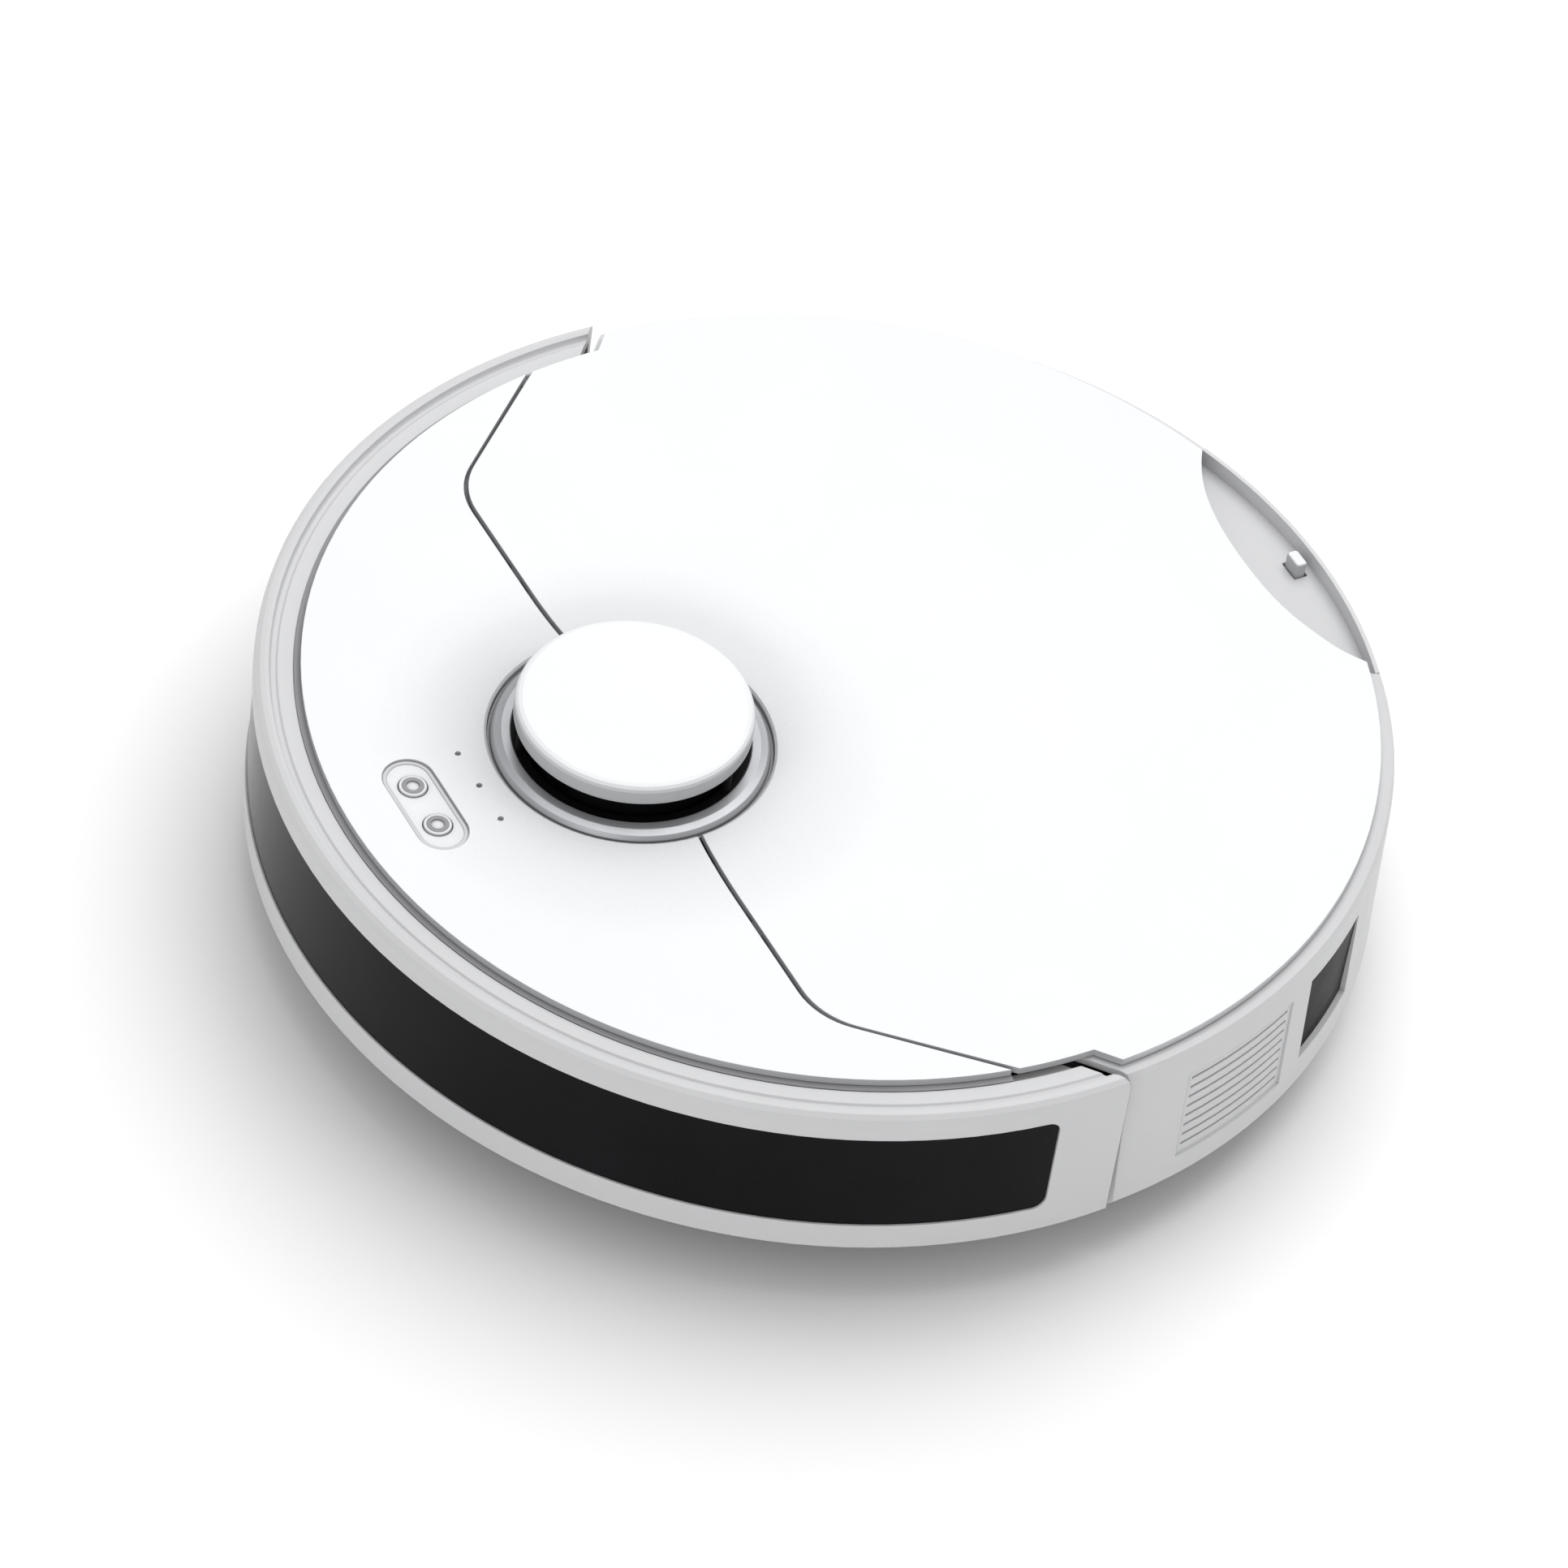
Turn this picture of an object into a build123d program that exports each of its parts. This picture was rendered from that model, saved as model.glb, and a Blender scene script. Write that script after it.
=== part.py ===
from build123d import *
from math import atan2, cos, degrees, hypot, pi, radians, sin
import os

# Robot vacuum. Millimetres. Origin on the floor under the middle of the body.
# +Z is up, -Y is the front, +X is the robot's left.

# ---- driving dimensions ----
BODY_R = 175.0            # bumper outside, half of the 350 mm body
BODY_TOP = 80.0           # flat top of the cover and the lid
COVER_R = 161.0           # fixed front cover and the lid's front corners
LID_R = 167.8             # lid's rear edge
PLATE_T = 2.4             # cover and lid thickness
LID_UNDERSIDE = BODY_TOP - PLATE_T
LID_RIB_X = 70.0
LID_RIB_Y = (-20.0, 120.0)
JOIN = 0.5                # overlap where two pieces of one sub-part are fused
WALL_T = 2.5              # general shell thickness
FLOOR_Z = 10.0            # underside of the bottom plate
FLOOR_T = 3.0
PAN_TOP = FLOOR_Z + FLOOR_T
DECK_Z = 70.0             # inner deck
DECK_T = 2.0
DECK_R = 154.5
SEAM_GAP = 1.6            # between the cover and the lid
SEAM_Y = -68.2
SEAM_CORNER_X = 119.6
SEAM_END = (158.5, -24.9)
SEAM_ROUND = 25.0
TURRET_Y = -69.0
TURRET_HOLE_R = 43.3
MOUND_R = 70.0
MOUND_RISE = 2.8
CAP_R = 36.0
CAP_BOTTOM = 91.4
CAP_TOP = 98.0
BUMPER_BOTTOM = 22.0
BUMPER_TOP = 79.0
BUMPER_END = ((100.0, -60.8), (200.0, 28.9))   # slanted end line, left side
WINDOW_ROUND = 4.0
WINDOW_END = -5.2         # angle where the window ends, below the body's X axis
SPRING_TURNS = 5
SPRING_PITCH = 2.2
WINDOW_LOW = 32.5
WINDOW_HIGH = 69.2
REAR_R = 173.5
REAR_SHIFT = 1.5
FLARE_TOP = 20.8          # top of the pan's flared edge
PAN_WALL = (153.0, 155.5)
SCOOP_Z = 71.5
NOTCH_EDGE = [
    (-54, 162), (-40, 153.5), (-26, 149.0), (0, 146.5),
    (26, 149.0), (40, 153.5), (54, 162),
]
LATCH_W = 7.0
LATCH_Y = (163.5, 167.5)
SIDE_WINDOW_ANGLE = 34.5
VENT_ANGLE = 18.0
VENT_FLOOR = [(0, 0), (173.4, 0), (171.0, 77), (0, 77)]   # cone just inside the rear wall's face
BUTTON_X = 8.5
BUTTON_Y = -137.0
BUTTON_R = 4.3
RECESS = (39.0, 16.0)     # button recess, length and width
RECESS_DEPTH = 0.8
HINGE_Y = -79.0
HINGE_Z = 75.8
HINGE_X = 80.0
HINGE_PIN_R = 1.3
HINGE_BOSS_R = 2.6
HOOK_INNER = 11.4         # hook radii about the pin, clear of the cover's edge
HOOK_OUTER = 16.0
HOOK_W = 6.0
HOOK_STRUT = 2.4
LIGHT_X = 14.5            # three status lights behind the buttons
LIGHT_Y = -119.4
LIGHT_R = 0.9
RUNNING_FIT = 0.06        # radial play of every shaft in its bore
WHEEL_X = 115.0
WHEEL_Y = 12.0
WHEEL_R = 33.0
WHEEL_W = 22.0
PIVOT_Y = 48.0
PIVOT_Z = 42.0
CASTER_Y = -132.0
CASTER_R = 12.0
CASTER_W = 11.0
CASTER_AXLE_R = 1.5
CASTER_TRAIL = 4.0
BRUSH_Y = -4.0
BRUSH_Z = 23.5
BRUSH_R = 22.0
BRUSH_SPAN = (-80.0, 72.0)   # ends of the brush housing along X
SIDE_BRUSH = (-96.0, -94.0)
WELL_Y = (-26.5, 61.5)    # wheel housings, front and back
SCAN_MOTOR = (42.6, -98.8)
SCAN_PULLEY_R = 30.0
SCAN_MOTOR_PULLEY_R = 5.0
BELT_Z = (64.2, 66.8)
BIN_X = 58.0
BIN_Y = (36.0, 142.0)
BIN_TOP = 68.0
DUCT_Y = (80.0, 104.0)
DUCT_Z = (36.0, 56.0)
BLOWER = (93.0, 91.0)
BLOWER_R = 21.5
LEVER = (76.0, -143.0)
LEVER_REACH = 12.0
LEVER_W = 4.0
CLIFF_ANGLES = (-35, -68, -112, -149)
SCREW_SPOTS = [
    (-140, 20), (140, 20), (-70, 110), (70, 110),
    (0, 140), (-64, -72), (64, -72), (22, -146),
]
BATTERY_SCREW_SPOTS = [(-36, -72), (36, -72)]
CUT = 400.0               # size of cutting blocks, larger than the body
TALL = (0.0, 120.0)       # heights of cutting blocks that pass right through
THROUGH_FLOOR = (0.0, PAN_TOP + 0.5)


# ---- helpers ----
def box(x, y, z):
    """Block between two values along each axis."""
    size = (x[1] - x[0], y[1] - y[0], z[1] - z[0])
    middle = ((x[0] + x[1]) / 2, (y[0] + y[1]) / 2, (z[0] + z[1]) / 2)
    return Pos(*middle) * Box(*size)


def rod(centre, z, radius):
    """Upright cylinder."""
    return Pos(centre[0], centre[1], (z[0] + z[1]) / 2) * Cylinder(radius, z[1] - z[0])


def tube(centre, z, outer, inner):
    """Upright tube."""
    return rod(centre, z, outer) - rod(centre, (z[0] - 1, z[1] + 1), inner)


def rod_x(x, y, z, radius):
    """Cylinder along X."""
    return Pos((x[0] + x[1]) / 2, y, z) * Rot(0, 90, 0) * Cylinder(radius, x[1] - x[0])


def spin(points, sweep=360.0, start=0.0):
    """Solid turned about Z from a closed outline of (radius, height) points."""
    outline = Polyline(*[(r, 0, z) for r, z in points], close=True)
    solid = revolve(make_face(outline), Axis.Z, sweep)
    return Rot(0, 0, start) * solid


def prism(points, z, fillets=0.0, corners=()):
    """Upright prism from a closed outline of (x, y) points, some corners rounded."""
    face = make_face(Polyline(*[(px, py, z[0]) for px, py in points], close=True))
    solid = extrude(face, z[1] - z[0], dir=(0, 0, 1))
    for corner in corners:
        solid = fillet(edge_at(solid, corner), fillets)
    return solid


def edge_at(solid, corner):
    """Upright edges standing over one (x, y) point."""
    return [
        edge
        for edge in solid.edges().filter_by(Axis.Z)
        if hypot(edge.center().X - corner[0], edge.center().Y - corner[1]) < 0.01
    ]


def mirrored(solid):
    """The same shape on the other side of the body's middle plane."""
    return mirror(solid, about=Plane.YZ)


def joined(*solids):
    """One solid from pieces that overlap or touch."""
    result = solids[0]
    for piece in solids[1:]:
        result = result + piece
    return result


def group(*solids):
    """Separate solids kept in one node."""
    return Compound(children=[part for item in solids for part in item.solids()])


def save(name, shape):
    """Write one sub-part."""
    export_step(shape, f"parts/{name}.step")


# ---- regions shared by the shells ----
def end_line_block(shift):
    """Everything behind the slanted end of the bumper, on the left side."""
    near, far = BUMPER_END
    points = [(near[0], near[1] + shift), (far[0], far[1] + shift), (far[0], CUT), (near[0], CUT)]
    return prism(points, TALL)


def front_region(gap):
    """Everything in front of the seam, less half a gap."""
    slope = (SEAM_END[1] - SEAM_Y) / (SEAM_END[0] - SEAM_CORNER_X)
    side = 200.0
    low = SEAM_Y - gap / 2
    tilt = hypot(1, slope)
    high = low + (side - SEAM_CORNER_X) * slope - gap / 2 * (tilt - 1)
    points = [
        (-side, -CUT), (side, -CUT), (side, high),
        (SEAM_CORNER_X, low), (-SEAM_CORNER_X, low), (-side, high),
    ]
    corners = [(SEAM_CORNER_X, low), (-SEAM_CORNER_X, low)]
    return prism(points, TALL, SEAM_ROUND, corners)


def top_sheet():
    """Flat sheet far wider than the body, with the mound and the turret hole."""
    top = BODY_TOP + MOUND_RISE
    hole = TURRET_HOLE_R
    knee = (52.0, BODY_TOP + 0.42 * MOUND_RISE)

    def crown(drop):
        """Profile of the mound, lowered by a drop."""
        points = [
            (hole + 0.8, 0, top - drop),
            (knee[0], 0, knee[1] - drop),
            (MOUND_R, 0, BODY_TOP - drop),
        ]
        return Spline(*points, tangents=[(1, 0, -0.32), (1, 0, 0)])

    upper, lower = crown(0), crown(PLATE_T)
    rim = Polyline(upper @ 1, (CUT, 0, BODY_TOP), (CUT, 0, BODY_TOP - PLATE_T), lower @ 1)
    lip = Polyline(lower @ 0, (hole, 0, top - PLATE_T), (hole, 0, top - 0.5), upper @ 0)
    sheet = revolve(make_face(upper + rim + lower + lip), Axis.Z, 360)
    return Pos(0, TURRET_Y, 0) * sheet


def notch_block(z, grow=0.0):
    """Lens-shaped finger notch in the rear edge."""
    moved = [(x, y - grow) for x, y in NOTCH_EDGE]
    line = Spline(*[(x, y, z[0]) for x, y in moved], tangents=[(1, -0.75), (1, 0.75)])
    half = NOTCH_EDGE[-1][0]
    back = Polyline(line @ 1, (half, CUT, z[0]), (-half, CUT, z[0]), line @ 0)
    return extrude(make_face(line + back), z[1] - z[0], dir=(0, 0, 1))


# ---- top shells ----
def front_cover():
    """Fixed white cover in front of the seam, with the button recess."""
    plate = top_sheet() & (rod((0, 0), (60, 100), COVER_R) & front_region(SEAM_GAP))
    recess = SlotOverall(*RECESS)
    pocket = extrude(Pos(0, BUTTON_Y, BODY_TOP - RECESS_DEPTH) * recess, CUT)
    plate = plate - pocket
    for side in (-1, 1):
        plate = plate - rod((side * BUTTON_X, BUTTON_Y), TALL, BUTTON_R + 0.3)
    for side in (-1, 0, 1):
        plate = plate - rod((side * LIGHT_X, LIGHT_Y), TALL, LIGHT_R)
    for side in (-1, 1):
        x = (side * HINGE_X - HOOK_W / 2 - 0.7, side * HINGE_X + HOOK_W / 2 + 0.7)
        plate = plate - box(x, (HINGE_Y - 3.3, HINGE_Y + 3.3), (0, BODY_TOP - 1.2))
    rim = tube((0, 0), (DECK_Z + DECK_T, LID_UNDERSIDE), DECK_R, DECK_R - 2)
    rim = rim & front_region(30)
    return plate + rim


def lid_outline(z):
    """Lid shape before the seam, the turret hole and the notch."""
    corner = rod((0, 0), z, COVER_R)
    rear = rod((0, 0), z, LID_R)
    rear = rear & rear_region(7.0)
    keep = box((-CUT, CUT), (-80, CUT), TALL)
    return (corner + rear) & keep


def lid():
    """Hinged white lid with its two hook arms and stiffening ribs."""
    plate = top_sheet() & (lid_outline((60, 100)) - front_region(-SEAM_GAP) - notch_block(TALL))
    rib_z = (LID_UNDERSIDE - 3, LID_UNDERSIDE + JOIN)
    for side in (-1, 1):
        rib = box((side * LID_RIB_X - 1, side * LID_RIB_X + 1), LID_RIB_Y, rib_z)
        plate = plate + rib + hinge_arm(side * HINGE_X)
    return plate


def hinge_arm(x):
    """Hook that reaches from the lid round under the seam to the hinge pin."""
    span = (x - HOOK_W / 2, x + HOOK_W / 2)
    wide = (span[0] - 1, span[1] + 1)
    hook = rod_x(span, HINGE_Y, HINGE_Z, HOOK_OUTER) - rod_x(wide, HINGE_Y, HINGE_Z, HOOK_INNER)
    below = box(wide, (HINGE_Y - HOOK_STRUT, HINGE_Y + 40), (HINGE_Z - 40, HINGE_Z))
    hook = hook & below
    upright_y = (HINGE_Y + HOOK_INNER, HINGE_Y + HOOK_OUTER)
    upright = box(span, upright_y, (HINGE_Z - 1, LID_UNDERSIDE + JOIN))
    strut_y = (HINGE_Y - HOOK_STRUT, HINGE_Y + HOOK_STRUT)
    strut = box(span, strut_y, (HINGE_Z - HOOK_INNER - 1, HINGE_Z))
    boss = rod_x(span, HINGE_Y, HINGE_Z, HINGE_BOSS_R)
    bore = rod_x(wide, HINGE_Y, HINGE_Z, HINGE_PIN_R + RUNNING_FIT)
    return joined(hook, upright, strut, boss) - bore


def hinge_pins():
    """Two steel pins, one across each pair of saddles."""
    pins = []
    for side in (-1, 1):
        x = side * HINGE_X
        pins.append(rod_x((x - 7, x + 7), HINGE_Y, HINGE_Z, HINGE_PIN_R))
    return group(*pins)


def hinge_saddles():
    """Four open saddles on the deck that hold the hinge pins."""
    saddles = []
    for x in (-HINGE_X - 5.5, -HINGE_X + 5.5, HINGE_X - 5.5, HINGE_X + 5.5):
        post = box((x - 1.5, x + 1.5), (HINGE_Y - 3, HINGE_Y + 3), (DECK_Z + 1, HINGE_Z))
        saddles.append(post - rod_x((x - 3, x + 3), HINGE_Y, HINGE_Z, HINGE_PIN_R))
    return saddles


# ---- bumper ----
def bumper_ends():
    """Everything behind the two slanted ends of the bumper."""
    return end_line_block(0) + mirrored(end_line_block(0)) + box((-120, 120), (0, CUT), TALL)


def bumper_shell():
    """Front half ring: rolled top rim, wall with the window pocket, tucked-in flange."""
    outline = [
        (172.0, BUMPER_BOTTOM), (174.2, BUMPER_BOTTOM), (BODY_R, BUMPER_BOTTOM + 0.8),
        (BODY_R, 75.0), (174.5, 77.3), (173.2, 78.6), (171.6, BUMPER_TOP), (170.4, 78.5),
        (170.2, 77.4), (169.8, 76.7), (168.4, 76.7), (167.8, 77.2), (163.2, 77.2), (162.8, 76.8),
        (162.8, 75.0), (159.0, 75.0), (159.0, 73.2), (172.0, 73.2),
    ]
    ring = spin(outline, 190, 175)
    ring = ring - bumper_ends()
    inner, outer = 173.0, 180.0
    pocket = tube((0, 0), (WINDOW_LOW - 0.2, WINDOW_HIGH + 0.2), outer, inner)
    pocket = pocket & front_sector(WINDOW_END + 0.1)
    ends = [edge for edge in pocket.edges() if abs(edge.length - 7.0) < 0.1 and edge.center().Y > -40]
    ring = ring - fillet(ends, WINDOW_ROUND + 0.2)
    for side in (-1, 1):
        ring = ring + pusher(side)
    return ring


def pusher(side):
    """Rib behind the bumper wall that meets a bump lever."""
    x = side * (LEVER[0] + LEVER_REACH)
    rib = box((x - 0.8, x + 0.8), (-160, LEVER[1] - LEVER_W / 2 - 0.5), (51, 56))
    return rib & rod((0, 0), TALL, 172.5)


def front_sector(end):
    """Wedge in front, from one angle on the left to the same on the right."""
    return spin([(0, 0), (CUT, 0), (CUT, CUT), (0, CUT)], 180 + 2 * end, 180 - end)


def sensor_window():
    """Smoked window round the front, with rounded ends."""
    ring = tube((0, 0), (WINDOW_LOW, WINDOW_HIGH), 174.5, 173.0) & front_sector(WINDOW_END)
    ends = [edge for edge in ring.edges() if abs(edge.length - 1.5) < 0.1 and edge.center().Y > -40]
    return fillet(ends, WINDOW_ROUND)


def bumper_springs():
    """Two return springs, each round a peg on the pan's wall."""
    wave = []
    for turn in range(SPRING_TURNS):
        low = turn * SPRING_PITCH
        wave += [(3.2, low), (3.8, low + SPRING_PITCH / 2)]
    outline = [(2.2, 0)] + wave + [(2.2, (SPRING_TURNS - 0.5) * SPRING_PITCH)]
    coils = [Pos(side * 40, -152.2, 45) * Rot(90, 0, 0) * spin(outline) for side in (-1, 1)]
    return group(*coils)


def bump_lever(side):
    """Small lever that the bumper's pusher swings against its switch."""
    x, y = side * LEVER[0], LEVER[1]
    boss = rod((x, y), (50, 57), 3.4)
    reach = sorted((x, x + side * (LEVER_REACH + 2)))
    arm = box(reach, (y - LEVER_W / 2, y + LEVER_W / 2), (50, 57))
    return boss + arm - rod((x, y), (40, 70), 1.5 + RUNNING_FIT)


def bump_switches():
    """Two switches between the levers and the pan's wall."""
    cases = []
    for side in (-1, 1):
        x = side * (LEVER[0] + LEVER_REACH - 2)
        case = box((x - 3.5, x + 3.5), (-137.2, -120), (49, 58))
        cases.append(case - rod((0, 0), TALL, PAN_WALL[1]))
    return group(*cases)


# ---- rear shell ----
def rear_shell():
    """Rear wall with its top flange, finger scoop, side windows and vents."""
    low = FLARE_TOP
    outline = [
        (168.6, low), (REAR_R - 1.2, low), (REAR_R, low + 1.6),
        (REAR_R - 2.0, 74.5), (REAR_R - 2.8, 76.4), (REAR_R - 4.6, 77.0),
        (157.5, 77.0), (157.5, 74.6), (REAR_R - 2.2 - WALL_T, 74.6), (REAR_R - WALL_T, low + 4.0),
    ]
    middle = Pos(0, REAR_SHIFT, 0)
    ring = (middle * spin(outline)) & rear_region(4.6)
    well = notch_block((DECK_Z, 77), 3.0) & rod((0, REAR_SHIFT), TALL, REAR_R - 3.0)
    scoop = notch_block((SCOOP_Z, 120), 1.0) & rod((0, REAR_SHIFT), TALL, REAR_R - 4.4)
    ring = (ring + well) - scoop - latch_slot(0.4)
    for side in (-1, 1):
        ring = ring - side_block(side, SIDE_WINDOW_ANGLE, 33.0, (33, 66)) - vent_slits(side)
    return ring


def rear_region(shift):
    """Everything behind the slanted ends of the rear wall."""
    return end_line_block(shift) + mirrored(end_line_block(shift)) + box((-120, 120), (0, CUT), TALL)


def side_block(side, angle, width, z):
    """Radial block through the rear wall, centred on one angle."""
    turn = angle if side > 0 else 180 - angle
    return Rot(0, 0, turn) * box((160, 190), (-width / 2, width / 2), z)


def side_windows():
    """Dark window in each side wall."""
    ring = Pos(0, REAR_SHIFT, 0) * tube((0, 0), (33.2, 65.8), 171.4, 169.9)
    panes = [ring & side_block(side, SIDE_WINDOW_ANGLE, 32.6, (33.2, 65.8)) for side in (-1, 1)]
    return group(*panes)


def vent_slits(side):
    """Stack of fine level exhaust slits in a shallow panel."""
    slits = [side_block(side, VENT_ANGLE, 42.0, (z, z + 0.9)) for z in range(34, 64, 4)]
    panel = side_block(side, VENT_ANGLE, 46.0, (30.5, 65.5))
    panel = panel - Pos(0, REAR_SHIFT, 0) * spin(VENT_FLOOR)
    return joined(panel, *slits)


def latch_slot(gap):
    """Space that the latch button moves in."""
    half = LATCH_W / 2 + gap
    return box((-half, half), (LATCH_Y[0] - gap, LATCH_Y[1] + gap), (SCOOP_Z - 8, SCOOP_Z + 12))


def latch_button():
    """Small push button in the finger notch that frees the lid."""
    half = LATCH_W / 2
    nub = box((-half, half), LATCH_Y, (68.1, 76.6))
    nub = fillet(nub.edges().filter_by(Axis.Z), 1.2)
    nub = fillet(nub.faces().sort_by(Axis.Z)[-1].edges(), 0.7)
    flange = box((-half - 2, half + 2), (LATCH_Y[0] - 1.5, LATCH_Y[1]), (68.1, 69.7))
    return nub + flange


# ---- chassis ----
def chassis_pan():
    """Bottom plate with a flared edge and the inner ring wall."""
    inner, outer = PAN_WALL
    top = PAN_TOP
    outline = [
        (0, FLOOR_Z), (159.0, FLOOR_Z), (160.5, FLOOR_Z + 0.6), (171.0, FLARE_TOP), (167.0, FLARE_TOP),
        (158.6, top), (outer, top), (outer, DECK_Z), (inner, DECK_Z), (inner, top), (0, top),
    ]
    pan = spin(outline)
    for side in (-1, 1):
        pan = pan + lever_shelf(side) + spring_peg(side)
        pan = pan - wheel_opening(side)
        pan = pan - box(sorted((side * 33, side * 47)), (-132, -124), (0, 11.5))
    pan = pan - box((-44, 44), (-104, -40), (0, 60))
    pan = pan - box(BRUSH_SPAN, (BRUSH_Y - 23, BRUSH_Y + 23), THROUGH_FLOOR)
    pan = pan - rod((0, CASTER_Y), THROUGH_FLOOR, 18.0)
    pan = pan - rod(SIDE_BRUSH, THROUGH_FLOOR, 4.0)
    for angle in CLIFF_ANGLES:
        pan = pan - cliff_block(angle, (0, 11.4), 0.0)
    for spot in SCREW_SPOTS:
        pan = pan - rod(spot, (0, 11.3), 3.3)
    return pan


def lever_shelf(side):
    """Shelf and pin outside the ring wall that carry one bump lever."""
    x, y = side * LEVER[0], LEVER[1]
    shelf = box((x - 4, x + 4), (y - 3.5, -120), (45, 49)) - rod((0, 0), TALL, 154)
    return shelf + rod((x, y), (48, 58), 1.5)


def spring_peg(side):
    """Peg outside the ring wall for one bumper spring."""
    return Pos(side * 40, -154, 45) * Rot(90, 0, 0) * Cylinder(1.9, 12)


def wheel_opening(side):
    """Opening in the bottom plate for one drive wheel."""
    return box(sorted((side * 86, side * 129)), (WELL_Y[0] + 1.5, WELL_Y[1] - 1.5), THROUGH_FLOOR)


def wheel_housing(side):
    """Box over one drive wheel, open at the bottom."""
    x = sorted((side * 84.5, side * 130.5))
    outer = box(x, WELL_Y, (13, 69.5))
    inner = box((x[0] + 1.5, x[1] - 1.5), (WELL_Y[0] + 1.5, WELL_Y[1] - 1.5), (0, 68))
    return outer - inner


def inner_deck():
    """Upper frame under the cover and the lid, with its bays and saddles."""
    deck = rod((0, 0), (DECK_Z, DECK_Z + DECK_T), DECK_R)
    deck = deck - (box((-60, 60), (34, 146), TALL) & rod((0, 0), TALL, 151.5))
    deck = deck - rod((0, TURRET_Y), TALL, 33.0) - notch_block(TALL, 3.0)
    for x in (-HINGE_X, HINGE_X):
        slot_y = (HINGE_Y - 4, HINGE_Y + HOOK_OUTER + 1.5)
        deck = deck - box((x - HOOK_W / 2 - 0.8, x + HOOK_W / 2 + 0.8), slot_y, TALL)
    return joined(deck, *hinge_saddles())


def battery():
    """Rechargeable pack."""
    pack = box((-40, 40), (-101, -43), (13, 46))
    return fillet(pack.edges().filter_by(Axis.Z), 4)


def battery_cover():
    """Cover under the battery, flush with the bottom plate."""
    plate = box((-43.7, 43.7), (-103.7, -40.3), (FLOOR_Z, FLOOR_Z + 2.6))
    plate = fillet(plate.edges().filter_by(Axis.Z), 2.5)
    for spot in BATTERY_SCREW_SPOTS:
        plate = plate - rod(spot, (0, 11.3), 3.3)
    return plate


def screws():
    """Countersunk cross-head screws in the underside."""
    heads = []
    for spot in SCREW_SPOTS + BATTERY_SCREW_SPOTS:
        head = rod(spot, (FLOOR_Z + 0.1, 11.3), 3.2)
        cross = box((spot[0] - 2, spot[0] + 2), (spot[1] - 0.5, spot[1] + 0.5), (9, 10.7))
        cross = cross + box((spot[0] - 0.5, spot[0] + 0.5), (spot[1] - 2, spot[1] + 2), (9, 10.7))
        heads.append(head - cross)
    return group(*heads)


def cliff_block(angle, z, inset):
    """Tangential block near the edge of the underside."""
    return Rot(0, 0, angle) * box((143.5 + inset, 152.5 - inset), (-11 + inset, 11 - inset), z)


def cliff_windows():
    """Dark windows over the drop sensors."""
    return group(*[cliff_block(angle, (FLOOR_Z + 0.2, 11.4), 0.15) for angle in CLIFF_ANGLES])


def charging_contacts():
    """Two contact pads in the underside."""
    pads = []
    for side in (-1, 1):
        pad = box(sorted((side * 33.2, side * 46.8)), (-131.8, -124.2), (FLOOR_Z - 0.4, 11.5))
        pads.append(pad)
    return group(*pads)


def main_board():
    """Circuit board over the battery."""
    return box((-70, 28), (-112, -46), (48, 49.6))


# ---- buttons ----
def push_button(side):
    """Round ring-shaped button with its flange and stem."""
    outline = [
        (0, 74.6), (1.5, 74.6), (1.5, 76.0), (5.6, 76.0), (5.6, 77.0), (BUTTON_R, 77.0),
        (BUTTON_R, 79.5), (BUTTON_R - 0.3, 79.8), (2.8, 79.8), (2.5, 79.4), (0, 79.4),
    ]
    return Pos(side * BUTTON_X, BUTTON_Y, 0) * spin(outline)


def status_lights():
    """Three light pipes behind the buttons."""
    return group(*[rod((side * LIGHT_X, LIGHT_Y), (73.4, 79.9), LIGHT_R - 0.05) for side in (-1, 0, 1)])


# ---- distance scanner ----
def scan_base():
    """Plate under the deck with the scanner's spindle and posts."""
    centre = (0, TURRET_Y)
    plate = rod(centre, (58, 61), 39) + rod(SCAN_MOTOR, (58, 61), 12)
    bridge = box((0, 30), (-12, 12), (58, 61))
    turn = degrees(atan2(SCAN_MOTOR[1] - TURRET_Y, SCAN_MOTOR[0]))
    plate = plate + Pos(0, TURRET_Y, 0) * Rot(0, 0, turn) * Pos(20, 0, 0) * bridge
    plate = plate + rod(centre, (60, 75.5), 8)
    for angle in (55, 145, 235):
        spot = (36.2 * cos(radians(angle)), TURRET_Y + 36.2 * sin(radians(angle)))
        plate = plate + rod(spot, (60, DECK_Z), 2.5)
    return plate - rod(SCAN_MOTOR, (50, 70), 2.0)


def scan_rotor():
    """Spinning head in the black slot."""
    outline = [
        (8 + RUNNING_FIT, 68.5), (14, 68.5), (14, 79), (31, 79), (31, 90.4),
        (0, 90.4), (0, 76.5), (8 + RUNNING_FIT, 76.5),
    ]
    head = Pos(0, TURRET_Y, 0) * spin(outline)
    for x in (-9, 9):
        head = head - lens_rod(x, (-40, -25), 4.6)
    return head


def lens_rod(x, y, radius):
    """Cylinder along Y in the rotor, measured from its axis."""
    length = y[1] - y[0]
    return Pos(x, TURRET_Y + (y[0] + y[1]) / 2, 84.8) * Rot(90, 0, 0) * Cylinder(radius, length)


def scan_lenses():
    """Two lenses in the rotor's front."""
    return group(*[lens_rod(x, (-28.5, -25), 4.5) for x in (-9, 9)])


def grooved_pulley(centre, radius, bore, z):
    """Flanged pulley with a belt groove."""
    low, high = z
    outline = [
        (bore, low), (radius + 1.6, low), (radius + 1.6, low + 0.9), (radius, low + 0.9),
        (radius, high - 0.9), (radius + 1.6, high - 0.9), (radius + 1.6, high), (bore, high),
    ]
    return Pos(centre[0], centre[1], 0) * spin(outline)


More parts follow.
